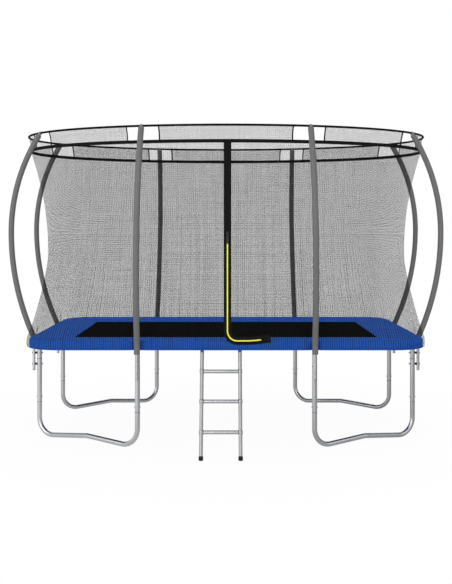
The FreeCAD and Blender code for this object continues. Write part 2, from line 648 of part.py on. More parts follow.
def ring_band_strip(turn, thickness):
    """Upright strip at one turn, from the band's upper edge to the ring's lower face."""
    gap = size("net_gap") / 2
    low_z = size("band_height") + size("band_depth") / 2 + gap
    high_z = size("ring_height") - size("ring_section") / 2 - gap
    points = []
    for grow, low in ((-thickness / 2, True), (thickness / 2, True), (thickness / 2, False), (-thickness / 2, False)):
        if low:
            points.append(oval_point(turn, size("band_length"), size("band_width"), low_z, grow))
        else:
            points.append(oval_point(turn, size("ring_length"), size("ring_width"), high_z, grow))
    return Part.makePolygon(points + points[:1])


def pole_turns():
    side, end = size("side_pole_turn"), size("end_pole_turn")
    return [end, side, 180 - side, 180 - end, 180 + end, 180 + side, 360 - side, 360 - end]


def turn_width(turn, width):
    """The turn in degrees that a width along the ring takes at this place."""
    step = 0.5
    here = (ring_point(turn + step) - ring_point(turn - step)).Length
    return width / here * 2 * step


def make_collar():
    """Net between the ring and the band, with an open window round each pole."""
    panels, edgings = [], []
    turns = pole_turns()
    thickness = size("net_thickness")
    edging = size("edging_width")
    for i, start in enumerate(turns):
        end = turns[(i + 1) % 8] + (360 if i == 7 else 0)
        half_window = size("window_width") / 2
        first = start + turn_width(start, half_window)
        last = end - turn_width(end, half_window)
        first_net = first + turn_width(first, edging)
        last_net = last - turn_width(last, edging)
        steps = max(2, round((last_net - first_net) / 9))
        strips = [ring_band_strip(first_net + (last_net - first_net) * k / steps, thickness)
                  for k in range(steps + 1)]
        panels.append(Part.makeLoft(strips, True, True))
        for near, far in ((first, first_net), (last_net, last)):
            edgings.append(Part.makeLoft([ring_band_strip(near, 2 * thickness), ring_band_strip(far, 2 * thickness)],
                                         True, True))
    keep_shape("net_collar", group(panels))
    keep_shape("window_edging", group(edgings))


def net_outline():
    """Half sizes of the net's lower outline, and its corner's start, end and whole length."""
    out = size("net_gap") + size("net_thickness")
    half_x = size("pad_length") / 2 + out
    half_y = size("pad_width") / 2 + out
    radius = size("net_corner")
    start = half_x - radius
    end = start + math.radians(90) * radius
    return half_x, half_y, radius, start, end, end + half_y - radius


def net_low(run):
    """The lower outline's point at a run from the middle of the back to the middle of the end."""
    half_x, half_y, radius, start, end, whole = net_outline()
    if run <= start:
        return Vector(run, half_y, 0)
    if run >= end:
        return Vector(half_x, whole - run, 0)
    angle = math.radians(90) - (run - start) / radius
    return Vector(start + radius * math.cos(angle), half_y - radius + radius * math.sin(angle), 0)


def net_stations():
    """Lower point and ring turn of each station in the back right quarter, grouped by panel."""
    half_x, half_y, radius, start, end, whole = net_outline()
    knots = [(0, 90), (SIDE_LEG_X, size("side_pole_turn")), (whole - END_LEG_Y, size("end_pole_turn")), (whole, 0)]
    bend = (end - start) / 4
    runs = [[0, SIDE_LEG_X / 2, SIDE_LEG_X],
            [SIDE_LEG_X, start, start + bend, start + 2 * bend],
            [start + 2 * bend, start + 3 * bend, end, whole - END_LEG_Y],
            [whole - END_LEG_Y, whole - END_LEG_Y / 2, whole]]

    def station(run):
        for (low, low_turn), (high, high_turn) in zip(knots, knots[1:]):
            if run <= high + 1e-6:
                return net_low(run), low_turn + (high_turn - low_turn) * (run - low) / (high - low)

    return [[station(run) for run in panel] for panel in runs]


def arc_points(bend, middle, top):
    """Points at even heights on the arc through three points."""
    curve = Part.Arc(bend, middle, top).toShape().Curve
    first, last = curve.parameter(bend), curve.parameter(top)
    steps = int(size("net_levels"))
    return [curve.value(first + (last - first) * k / steps) for k in range(steps + 1)]


def net_strip(low, turn, sx, sy):
    """Outer and inner points of one upright strip: up the pad's skirt, then one long arc to the band."""
    thickness = size("net_thickness")
    top = oval_point(turn, size("band_length"), size("band_width"),
                     size("band_height") - size("band_depth") / 2 - size("net_gap") / 2, thickness / 2)
    top = Vector(sx * top.x, sy * top.y, top.z)
    low = Vector(sx * low.x, sy * low.y, 0)
    outward = Vector(top.x / size("band_length") ** 2, top.y / size("band_width") ** 2, 0).normalize()
    middle = (low + top) / 2 - outward * size("net_waist")
    middle.z = (size("net_turn") + top.z) / 2
    foot = Vector(low.x, low.y, size("net_foot"))
    bend = Vector(low.x, low.y, size("net_turn"))
    outer = [foot] + arc_points(bend, middle, top)
    return outer, [point - outward * thickness for point in outer]


def triangles(a, b, c, d):
    """Two flat faces for the four corners of a patch."""
    return [Part.Face(Part.makePolygon([a, b, c, a])), Part.Face(Part.makePolygon([a, c, d, a]))]


def net_panel(stations):
    """A closed skin over neighbouring strips."""
    strips = [net_strip(*station) for station in stations]
    faces = []
    for (outer, inner), (next_outer, next_inner) in zip(strips, strips[1:]):
        for here, there in ((outer, next_outer), (inner, next_inner)):
            for k in range(len(here) - 1):
                faces += triangles(here[k], there[k], there[k + 1], here[k + 1])
        for k in (0, -1):
            faces += triangles(outer[k], next_outer[k], next_inner[k], inner[k])
    for outer, inner in (strips[0], strips[-1]):
        for k in range(len(outer) - 1):
            faces += triangles(outer[k], inner[k], inner[k + 1], outer[k + 1])
    return closed_solid(faces)


def make_net():
    back, corner_side, corner_end, right = net_stations()
    panels = []
    for sy in (-1, 1):
        panels.append(net_panel([(p, t, -1, sy) for p, t in reversed(back)] + [(p, t, 1, sy) for p, t in back[1:]]))
    for sx in (-1, 1):
        panels.append(net_panel([(p, t, sx, 1) for p, t in right] + [(p, t, sx, -1) for p, t in reversed(right[:-1])]))
    for name, sx, sy in CORNERS:
        for half in (corner_side, corner_end):
            panels.append(net_panel([(p, t, sx, sy) for p, t in half]))
    slots = [pole_slot_cutter(x, y, turn) for name, x, y, turn in LEGS]
    panels = [panel.cut(slots) for panel in panels]
    keep_shape("net_wall", group(panels))


def pole_slot_cutter(x, y, turn):
    """Room round a pole's foot, through the pad's skirt and the net's lower edge."""
    base_x, base_y, pivot, lean = pole_place(x, y, turn, False)
    radius = SLEEVE_R + size("pole_slot")
    top = size("net_turn") + 20
    return Part.makeCylinder(radius, top - size("stub_foot"), Vector(base_x, base_y, size("stub_foot")))


# Pad: four crowned sections with a rolled skirt, mitred at the corners
def rounded_block(half_x, half_y, radius, low, high):
    block = Part.makeBox(2 * half_x, 2 * half_y, high - low, Vector(-half_x, -half_y, low))
    uprights = [e for e in block.Edges if e.BoundBox.ZLength > (high - low) / 2]
    return block.makeFillet(radius, uprights)


def pad_mitre(sx, sy, share, height):
    """A point of one corner's mitre line, from the opening's corner outwards."""
    inner = Vector(sx * size("pad_inner_length") / 2, sy * size("pad_inner_width") / 2, 0)
    outer = Vector(sx * size("pad_length") / 2, sy * size("pad_width") / 2, 0)
    point = inner + (outer - inner) * share
    return Vector(point.x, point.y, height)


def crown_section(sx, sy):
    """What is taken off the foam in one mitre plane to slope it down to the opening."""
    edge, crown = size("pad_edge"), size("pad_crown")
    past = 0.05

    def spot(share, height):
        return pad_mitre(sx, sy, share, height)

    edges = [Part.LineSegment(spot(-past, edge), spot(0, edge)).toShape(),
             Part.Arc(spot(0, edge), spot(0.2, edge + 0.76 * (crown - edge)), spot(0.5, crown)).toShape(),
             Part.LineSegment(spot(0.5, crown), spot(0.5, crown + 10)).toShape(),
             Part.LineSegment(spot(0.5, crown + 10), spot(-past, crown + 10)).toShape(),
             Part.LineSegment(spot(-past, crown + 10), spot(-past, edge)).toShape()]
    return edges


def bridge(first, second):
    """A solid between two closed outlines, edge for edge."""
    faces = [Part.makeRuledSurface(a, b) for a, b in zip(first, second)]
    return closed_solid(faces + [Part.Face(Part.Wire(first)), Part.Face(Part.Wire(second))])


def make_pad():
    crown, foot, under = size("pad_crown"), size("pad_foot"), size("pad_under")
    whole = rounded_block(size("pad_length") / 2, size("pad_width") / 2, size("pad_corner"), foot, crown)
    rim = [e for e in whole.Edges if e.BoundBox.ZMin > crown - 1]
    whole = whole.makeFillet(size("pad_roll"), rim)
    reach = TUBE_R + size("pad_gap")
    skirt_space = rounded_block(HALF_LENGTH + reach, HALF_WIDTH + reach, size("corner_bend") + reach, foot - 1, under)
    opening = Part.makeBox(size("pad_inner_length"), size("pad_inner_width"), 2 * (crown - foot),
                           Vector(-size("pad_inner_length") / 2, -size("pad_inner_width") / 2, foot - 1))
    sides = [((-1, -1), (1, -1)), ((1, -1), (1, 1)), ((1, 1), (-1, 1)), ((-1, 1), (-1, -1))]
    cutters = [skirt_space, opening]
    cutters += [bridge(crown_section(*first), crown_section(*second)) for first, second in sides]
    cutters += [pole_slot_cutter(x, y, turn) for name, x, y, turn in LEGS]
    cutters += [hook_recess(side) for side in (-1, 1)]
    whole = whole.cut(cutters)
    pads = []
    for first, second in sides:
        sector = prism([pad_mitre(*first, 0, foot - 1), pad_mitre(*second, 0, foot - 1),
                        pad_mitre(*second, 1.1, foot - 1), pad_mitre(*first, 1.1, foot - 1)],
                       Vector(0, 0, 2 * (crown - foot)))
        pads.append(whole.common(sector))
    keep_shape("safety_pad", group(pads))


# Mat and springs
def make_mat():
    """Woven mat with a thicker webbing hem along its edge."""
    body = new_body("jumping_mat", at(0, 0, size("mat_top")))
    outline = new_sketch(body, "Outline", "XY_Plane", -size("hem_thickness"), "-Sizes.hem_thickness")
    draw_box(outline, size("mat_length"), size("mat_width"), "Sizes.mat_length", "Sizes.mat_width")
    pad = add_pad(body, outline, size("hem_thickness"), "Sizes.hem_thickness")
    doc.recompute()
    uprights = ["Edge%d" % (i + 1) for i, e in enumerate(pad.Shape.Edges) if e.BoundBox.ZLength > 1]
    fillet = body.newObject("PartDesign::Fillet", "Round_corners")
    fillet.Base = (pad, uprights)
    fillet.Radius = size("mat_corner")
    fillet.setExpression("Radius", "Sizes.mat_corner")
    under = new_sketch(body, "Under_cloth", "XY_Plane", -size("hem_thickness"), "-Sizes.hem_thickness")
    draw_box(under, size("mat_length") - 2 * size("hem_width"), size("mat_width") - 2 * size("hem_width"),
             "Sizes.mat_length - 2 * Sizes.hem_width", "Sizes.mat_width - 2 * Sizes.hem_width")
    add_pocket(body, under, size("hem_thickness") - size("mat_thickness"),
               "Sizes.hem_thickness - Sizes.mat_thickness", reverse=True)
    return keep(body)


def make_springs():
    """Springs from the frame tube to the mat's hem, each inside its own outline."""
    radius = size("spring_width") / 2
    drop = size("spring_height") - FRAME_Z
    tube_face = math.sqrt(TUBE_R ** 2 - max(0.0, abs(drop) - radius) ** 2) if abs(drop) > radius else TUBE_R
    springs = []

    def spring(start, push):
        across = Vector(0, 0, 1).cross(push).normalize()
        outline = [start + across * (radius * math.cos(math.radians(60 * i)))
                   + Vector(0, 0, radius * math.sin(math.radians(60 * i))) for i in range(6)]
        springs.append(prism(outline, push))

    gap = size("spring_gap")
    margin = size("spring_margin")
    for sign in (-1, 1):
        start_y = sign * (size("mat_width") / 2 + gap)
        push_y = sign * (HALF_WIDTH - tube_face - gap) - start_y
        count = int(size("side_springs"))
        for i in range(count):
            x = (size("mat_length") / 2 - margin) * (2 * i / (count - 1) - 1)
            spring(Vector(x, start_y, size("spring_height")), Vector(0, push_y, 0))
        start_x = sign * (size("mat_length") / 2 + gap)
        push_x = sign * (HALF_LENGTH - tube_face - gap) - start_x
        count = int(size("end_springs"))
        for i in range(count):
            y = (size("mat_width") / 2 - margin) * (2 * i / (count - 1) - 1)
            spring(Vector(start_x, y, size("spring_height")), Vector(push_x, 0, 0))
    keep_shape("springs", group(springs))


# Ladder: it hooks over the front rail and leans out to the ground
def ladder_place(x=0.0):
    """Ladder coordinates: Z runs up the rails to the frame tube's axis."""
    return Placement(Vector(size("ladder_shift") + x, -HALF_WIDTH + SET_BACK, FRAME_Z),
                     Rotation(Vector(1, 0, 0), -LADDER_LEAN))


def rung_places():
    cosine = math.cos(math.radians(LADDER_LEAN))
    return [-(FRAME_Z - (size("first_rung") - i * size("rung_pitch"))) / cosine for i in range(3)]


def hook_shape(side):
    """Flat steel hook round the frame tube, with a tongue down to the rail's top."""
    inner = TUBE_R + size("hook_gap")
    outer = inner + size("hook_thickness")
    width = size("hook_width")
    wrap = size("hook_wrap")
    # Turns are counted from straight down the rail, outwards over the tube
    def edge_point(radius, turn):
        angle = math.radians(turn)
        return Vector(-width / 2, -radius * math.sin(angle), -radius * math.cos(angle))
    edges = [Part.Arc(edge_point(inner, 0), edge_point(inner, wrap / 2), edge_point(inner, wrap)).toShape(),
             Part.LineSegment(edge_point(inner, wrap), edge_point(outer, wrap)).toShape(),
             Part.Arc(edge_point(outer, wrap), edge_point(outer, wrap / 2), edge_point(outer, 0)).toShape(),
             Part.LineSegment(edge_point(outer, 0), edge_point(inner, 0)).toShape()]
    clip = Part.Face(Part.Wire(edges)).extrude(Vector(width, 0, 0))
    tongue = Part.makeBox(width, size("hook_thickness"), size("rail_start") - inner,
                          Vector(-width / 2, -size("hook_thickness") / 2, -size("rail_start")))
    return clip.fuse(tongue).removeSplitter()


def hook_recess(side):
    """Room in the pad for a hook and its swing."""
    reach = TUBE_R + size("hook_gap") + size("hook_thickness") + size("running_gap")
    half = size("hook_width") / 2 + size("running_gap")
    x = size("ladder_shift") + side * size("ladder_width") / 2
    low, high = size("pad_foot") - 1, size("pad_under")
    return Part.makeBox(2 * half, reach, high - low, Vector(x - half, -HALF_WIDTH - reach, low))


def make_ladder():
    spread = size("ladder_width") / 2
    collars, feet, hooks = [], [], []
    rail_top = size("rail_start")
    rail_foot = LADDER_LENGTH - size("foot_sole") / math.cos(math.radians(LADDER_LEAN)) - size("foot_od") / 4
    for name, side in (("left", -1), ("right", 1)):
        place = ladder_place(side * spread).multiply(Placement(Vector(0, 0, -rail_foot), Rotation()))
        body = straight_tube("ladder_rail_" + name, place, rail_foot - rail_top, None,
                             "Sizes.rail_od / 2", "Sizes.rail_od / 2 - Sizes.rail_wall",
                             size("rail_od") / 2, size("rail_od") / 2 - size("rail_wall"))
        keep(body)
        gap = size("spigot_gap")
        local = Placement(Vector(size("ladder_shift") + side * spread, -HALF_WIDTH, FRAME_Z),
                          Rotation(Vector(1, 0, 0), -LADDER_LEAN))
        rail_space = Part.makeCylinder(size("rail_od") / 2 + gap, LADDER_LENGTH, Vector(0, 0, -rail_foot - gap))
        for level in rung_places():
            collar = Part.makeCylinder(size("collar_od") / 2, size("collar_length"),
                                       Vector(0, 0, level - size("collar_length") / 2))
            collar = collar.cut(rail_space)
            collar.Placement = local
            collars.append(collar)
        foot = Part.makeCylinder(size("foot_od") / 2, 2 * size("foot_length"),
                                 Vector(0, 0, -rail_foot + size("foot_length") - 2 * size("foot_length")))
        foot = foot.cut(rail_space)
        foot.Placement = local
        ground = Part.makeBox(8 * size("foot_od"), 8 * size("foot_od"), 4 * size("foot_length"),
                              Vector(size("ladder_shift") + side * spread - 4 * size("foot_od"),
                                     -HALF_WIDTH - size("ladder_reach") - 4 * size("foot_od"),
                                     -4 * size("foot_length")))
        feet.append(foot.cut(ground))
        hook = hook_shape(side)
        hook.Placement = local
        hooks.append(hook)
    keep_shape("ladder_hooks", group(hooks))
    keep_shape("ladder_collars", group(collars))
    keep_shape("ladder_feet", group(feet))
    rungs = []
    inside = size("collar_od") / 2
    for level in rung_places():
        rung = Part.makeCylinder(size("rung_od") / 2, 2 * (spread - inside),
                                 Vector(-(spread - inside), 0, level), Vector(1, 0, 0))
        bore = Part.makeCylinder(size("rung_od") / 2 - size("rail_wall"), 2 * (spread - inside),
                                 Vector(-(spread - inside), 0, level), Vector(1, 0, 0))
        rung = rung.cut(bore)
        rung.Placement = Placement(Vector(size("ladder_shift"), -HALF_WIDTH, FRAME_Z),
                                   Rotation(Vector(1, 0, 0), -LADDER_LEAN))
        rungs.append(rung)
    keep_shape("ladder_rungs", group(rungs))


# Doorway: the tape, its teeth and the slider
def front_net_line():
    """The net's outer face at the middle of the front, as lower line and arc."""
    thickness = size("net_thickness")
    face = -size("pad_width") / 2 - size("net_gap") - thickness
    top = -size("band_width") / 2 - thickness / 2
    top_z = size("band_height") - size("band_depth") / 2 - size("net_gap") / 2
    middle = (face + top) / 2 + size("net_waist")
    return face, top, top_z, middle


def net_arc():
    """Centre and radius of the front net's upright arc, in the plane across the model."""
    face, top, top_z, middle = front_net_line()
    low_z = size("net_turn")
    arc = Part.Arc(Vector(0, face, low_z), Vector(0, middle, (low_z + top_z) / 2), Vector(0, top, top_z))
    circle = arc.toShape().Curve
    return circle.Center, circle.Radius


def net_face(height):
    """Y of the front net's outer face at a height."""
    centre, radius = net_arc()
    if height <= size("net_turn"):
        return front_net_line()[0]
    return centre.y + math.sqrt(radius ** 2 - (height - centre.z) ** 2)


def face_wall(lift, thickness):
    """A skin that follows the net's outer face, wide enough for the whole zip."""
    face, top, top_z, middle = front_net_line()
    low_z = size("net_turn")
    line = [Vector(0, face, size("pad_foot"))]
    line += arc_points(Vector(0, face, low_z), Vector(0, middle, (low_z + top_z) / 2), Vector(0, top, top_z))
    near = [point + Vector(-size("tab_length"), -lift, 0) for point in line]
    far = [point + Vector(0, -thickness, 0) for point in near]
    return prism(near + far[::-1], Vector(size("frame_width") / 2, 0, 0))


def zip_outline(width, top, tab):
    """The door's L seen from the front, as a thick block: down, round the bend and along the skirt."""
    half, bend, sweep = width / 2, size("zip_bend"), size("zip_sweep")
    left, level = size("zip_shift"), size("zip_level")
    near = (left + bend, level + bend)
    far = (left + bend + size("zip_flat"), level + sweep)
    rise = size("zip_end_turn")

    def spot(x, z):
        return Vector(x, 0, z)

    def turned(centre, radius, angle):
        return spot(centre[0] + radius * math.cos(math.radians(angle)), centre[1] + radius * math.sin(math.radians(angle)))

    edges = [Part.LineSegment(spot(left - half, top), spot(left - half, near[1])).toShape(),
             Part.Arc(*[turned(near, bend + half, a) for a in (180, 225, 270)]).toShape(),
             Part.LineSegment(turned(near, bend + half, 270), turned(far, sweep + half, 270)).toShape(),
             Part.Arc(*[turned(far, sweep + half, 270 + rise * k) for k in (0, 0.5, 1)]).toShape(),
             Part.LineSegment(turned(far, sweep + half, 270 + rise), turned(far, sweep - half, 270 + rise)).toShape(),
             Part.Arc(*[turned(far, sweep - half, 270 + rise * k) for k in (1, 0.5, 0)]).toShape(),
             Part.LineSegment(turned(far, sweep - half, 270), turned(near, bend - half, 270)).toShape(),
             Part.Arc(*[turned(near, bend - half, a) for a in (270, 225, 180)]).toShape(),
             Part.LineSegment(spot(left + half, near[1]), spot(left + half, top)).toShape(),
             Part.LineSegment(spot(left + half, top), spot(left - half, top)).toShape()]
    push = Vector(0, -size("frame_width"), 0)
    block = Part.Face(Part.Wire(edges)).extrude(push)
    if tab:
        end = turned(far, sweep, 270 + rise)
        patch = Part.makeBox(size("tab_length"), size("frame_width"), size("tab_width"),
                             Vector(0, -size("frame_width"), -size("tab_width") / 2))
        patch.Placement = Placement(end, Rotation(Vector(0, 1, 0), -rise))
        block = block.fuse(patch)
    return block


def slider_place():
    """Where the slider rests on the teeth, along the net's arc."""
    centre, radius = net_arc()
    height = size("zip_top") - size("slider_length") / 2
    lean = math.degrees(math.asin((height - centre.z) / radius))
    # The straight runs stand a little outside the arc that the slider follows
    run = (front_net_line()[2] - size("net_turn")) / size("net_levels")
    out = size("net_gap") / 2 + size("tape_thickness") + size("zip_thickness") + size("running_gap")
    out += run ** 2 / (8 * radius)
    return Placement(Vector(size("zip_shift"), net_face(height) - out, height), Rotation(Vector(1, 0, 0), lean))


def make_zip():
    gap = size("net_gap") / 2
    top_z = front_net_line()[2]
    tape = face_wall(gap, size("tape_thickness")).common(zip_outline(size("tape_width"), top_z, True))
    keep_shape("zip_tape", tape)
    skin = face_wall(gap + size("tape_thickness"), size("zip_thickness"))
    keep_shape("zip_teeth", skin.common(zip_outline(size("zip_width"), size("zip_top"), False)))
    # The slider, its two ears and their pin; local Y points out of the net's face when negative
    length, width, depth = size("slider_length"), size("slider_width"), size("slider_thickness")
    slope = width / 4
    outline = [Vector(-width / 2, 0, length / 2), Vector(width / 2, 0, length / 2),
               Vector(width / 2, 0, -length / 6), Vector(width / 2 - slope, 0, -length / 2),
               Vector(-width / 2 + slope, 0, -length / 2), Vector(-width / 2, 0, -length / 6)]
    slider = prism(outline, Vector(0, -depth, 0))
    neck, ear, rise = size("pull_neck"), size("lug_width"), size("lug_height")
    inner = neck / 2 + size("running_gap")
    for x in (-inner - ear, inner):
        slider = slider.fuse(Part.makeBox(ear, rise, rise, Vector(x, -depth - rise, -rise / 2)))
    pin_y = -depth - rise / 2
    pin_r = size("pull_pin") / 2
    slider = slider.fuse(Part.makeCylinder(pin_r, 2 * inner, Vector(-inner, pin_y, 0), Vector(1, 0, 0)))
    place = slider_place()
    slider.Placement = place
    keep_shape("zip_slider", slider.removeSplitter())
    thick, pull_width = size("pull_thickness"), size("pull_width")
    shoulder = rise
    eye = pin_r + size("running_gap")
    outline = [Vector(-neck / 2, 0, eye), Vector(neck / 2, 0, eye), Vector(neck / 2, 0, -shoulder),
               Vector(pull_width / 2, 0, -2 * shoulder), Vector(pull_width / 2, 0, -size("pull_length")),
               Vector(-pull_width / 2, 0, -size("pull_length")), Vector(-pull_width / 2, 0, -2 * shoulder),
               Vector(-neck / 2, 0, -shoulder)]
    pull = prism(outline, Vector(0, -thick, 0))
    pull.translate(Vector(0, thick / 2, 0))
    # A round eye on the pull's neck, bored for the pin
    wall = eye + size("pull_thickness") / 2
    pull = pull.fuse(Part.makeCylinder(wall, neck, Vector(-neck / 2, 0, 0), Vector(1, 0, 0)))
    pull = pull.cut(Part.makeCylinder(eye, neck, Vector(-neck / 2, 0, 0), Vector(1, 0, 0)))
    hang = place.multiply(Placement(Vector(0, pin_y, 0), Rotation()))
    pull.Placement = Placement(hang.Base, Rotation())
    keep_shape("zip_pull", pull.removeSplitter())


for build in (make_rails, make_tees):
    build()
for corner_name, corner_x, corner_y in CORNERS:
    make_corner(corner_name, corner_x, corner_y)
    make_leg_base(corner_name, corner_x, corner_y)
for leg_name, leg_x, leg_y, leg_turn in LEGS:
    make_upright(leg_name, leg_x, leg_y)
    make_pole(leg_name, leg_x, leg_y, leg_turn)
    make_sleeve(leg_name, leg_x, leg_y, leg_turn)
make_fixings()
make_ring()
make_caps()
make_band()
make_collar()
make_net()
make_pad()
make_mat()
make_springs()
make_ladder()
make_zip()
doc.recompute()

for item in doc.Objects:
    if "Invalid" in item.State or "Error" in item.State:
        raise RuntimeError("%s is %s" % (item.Label, item.State))
for item in subparts:
    if item.Shape.isNull() or not item.Shape.isValid():
        raise RuntimeError("%s has no valid shape" % item.Label)
for item in subparts:
    item.Shape.exportStep("parts/%s.step" % item.Label)
print("%d sub-parts written" % len(subparts))
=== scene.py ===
"""A rectangular garden trampoline with a bowed safety net, finished over its construction model.

Lengths are in metres. X runs along the long sides, Y from the ladder side to the back, Z up.
"""

import math

import bpy
from mathutils import Matrix, Vector, noise


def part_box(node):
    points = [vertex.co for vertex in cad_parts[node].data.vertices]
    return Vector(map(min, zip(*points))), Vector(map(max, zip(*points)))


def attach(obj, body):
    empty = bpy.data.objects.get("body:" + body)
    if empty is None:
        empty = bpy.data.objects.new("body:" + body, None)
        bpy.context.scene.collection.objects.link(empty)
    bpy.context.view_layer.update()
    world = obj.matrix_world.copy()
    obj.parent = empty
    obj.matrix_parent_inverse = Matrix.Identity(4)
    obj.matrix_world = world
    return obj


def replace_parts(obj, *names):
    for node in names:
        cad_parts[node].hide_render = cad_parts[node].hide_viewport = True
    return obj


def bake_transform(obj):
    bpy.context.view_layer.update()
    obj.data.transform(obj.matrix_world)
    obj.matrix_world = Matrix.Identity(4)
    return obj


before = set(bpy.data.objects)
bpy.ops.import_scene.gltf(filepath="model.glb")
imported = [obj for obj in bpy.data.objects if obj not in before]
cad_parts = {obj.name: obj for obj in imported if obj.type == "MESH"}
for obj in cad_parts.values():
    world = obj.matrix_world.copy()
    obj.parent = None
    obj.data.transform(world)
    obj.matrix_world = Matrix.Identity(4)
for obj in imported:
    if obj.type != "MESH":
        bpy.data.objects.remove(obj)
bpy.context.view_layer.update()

bl_info = {
    "name": "Garden Trampoline",
    "version": (1, 0, 0),
    "blender": (4, 5, 0),
    "location": "View3D > Sidebar > Trampoline",
    "description": "Builds a rectangular trampoline with a bowed safety net and a ladder",
    "category": "Object",
}


def paint(red, green, blue):
    """A linear colour from the 0 to 255 values that it shows as."""
    return tuple((c / 255) ** 2.2 for c in (red, green, blue))


# Places and sizes: those of the construction model, and those of the pieces that are made here
RAIL_BOXES = [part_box("rail_front"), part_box("rail_back")]
SET_BACK = sum(low.y + high.y for low, high in RAIL_BOXES) / 4
HALF_LENGTH = 1.637
HALF_WIDTH = 1.030
RAIL_HEIGHT = 0.842
TUBE_RADIUS = 0.021
SIDE_LEG = 0.731
END_LEG = 0.558
TEE_ARM = 0.090
TEE_FOOT = 0.676
BASE_TOP = 0.297
BASE_SCREW = 0.342
POLE_OUT = 0.049
POLE_RADIUS = 0.0125
POLE_FOOT = 0.578
BOLT_HEIGHTS = (0.631, 0.728)
SLEEVE_FOOT = 0.782
SLEEVE_PIVOT = 0.812
POLE_BEND = 0.150
KICK_HEIGHT = 0.859
BULGE_HEIGHT = 1.800
BULGE_REACH = 0.208
RING = (1.838, 1.098, 2.664)
BAND = (1.816, 1.083, 2.534)
RING_TURN = {"side": 67.6, "end": 26.6}
CAP_SEAT = 0.022
TUNNEL_RADIUS = 0.0095
BAND_DEPTH = 0.0285
NET_TURN = 0.897
NET_FOOT = 0.824
NET_TOP = 2.5213
NET_WAIST = 0.098
NET_CORNER = 0.260
NET_SLACK = (0.012, 0.005)
NET_HALF = (1.6775, 1.0725)
NET_WAVE = 0.0045
DENT_WIDTH = 0.048
NET_DENT = 0.0185
PAD_DENT = 0.018
WINDOW_REACH = {"front": (0.134, 0.147), "end": (0.136, 0.136), "back": (0.120, 0.127)}
PAD_HALF = (1.675, 1.070)
PAD_OPENING = (1.314, 0.680)
PAD_CORNER = 0.300
PAD_FOOT = 0.814
PAD_UNDER = 0.869
PAD_CROWN = 0.892
PAD_EDGE = 0.877
PAD_ROLL = 0.020
MAT_HALF = (1.425, 0.820)
MAT_CORNER = 0.060
MAT_TOP = 0.868
SPRING_HEIGHT = 0.855
SPRING_COUNTS = (26, 14)
SPRING_MARGIN = 0.095
LADDER_SHIFT = -0.041
LADDER_SPREAD = 0.1555
LADDER_REACH = 0.388
LADDER_LEAN = math.atan2(LADDER_REACH, RAIL_HEIGHT)
RUNG_HEIGHTS = (0.649, 0.424, 0.199)
LADDER_RAIL_RADIUS = 0.0150
RUNG_RADIUS = 0.0153
COLLAR_HALF = 0.0172
FOOT_RADIUS = 0.018
FOOT_LENGTH = 0.030
ZIP_SHIFT = 0.012
ZIP_LEVEL = 0.893
ZIP_BEND = 0.080
ZIP_FLAT = 0.070
ZIP_SWEEP = 0.880
ZIP_END_TURN = 8.2
ZIP_TOP = 1.778

# The flattened ends of the ladder's rails: half width, half depth, distance down from the frame tube's axis
CRIMP_SIZES = [(0.0152, 0.0152, 0.0595), (0.0153, 0.0148, 0.0530), (0.0156, 0.0122, 0.0460), (0.0159, 0.0078, 0.0400),
               (0.0160, 0.0056, 0.0360), (0.0156, 0.0050, 0.0342)]

# Heights of the net over the pad's skirt, with the share of its slack at each
NET_SKIRT = ((NET_FOOT, 0.35), (0.848, 1.0), (0.872, 0.9))

# Turns a part made about Z so that it lies along X
QUARTER_TURN = Matrix.Rotation(math.radians(90), 4, "Y")

# The camera: level, straight in front, with a shifted lens
CAMERA_LENS = 54.76
CAMERA_SENSOR = 36.0
CAMERA_SHIFT = -0.1002
CAMERA_DISTANCE = 8.36
CAMERA_HEIGHT = 1.774

# Each leg: its name, where its axis stands and which way its pole faces
LEGS = [
    ("front_left", -SIDE_LEG, -HALF_WIDTH, 270),
    ("front_right", SIDE_LEG, -HALF_WIDTH, 270),
    ("right_front", HALF_LENGTH, -END_LEG, 0),
    ("right_back", HALF_LENGTH, END_LEG, 0),
    ("back_right", SIDE_LEG, HALF_WIDTH, 90),
    ("back_left", -SIDE_LEG, HALF_WIDTH, 90),
    ("left_back", -HALF_LENGTH, END_LEG, 180),
    ("left_front", -HALF_LENGTH, -END_LEG, 180),
]


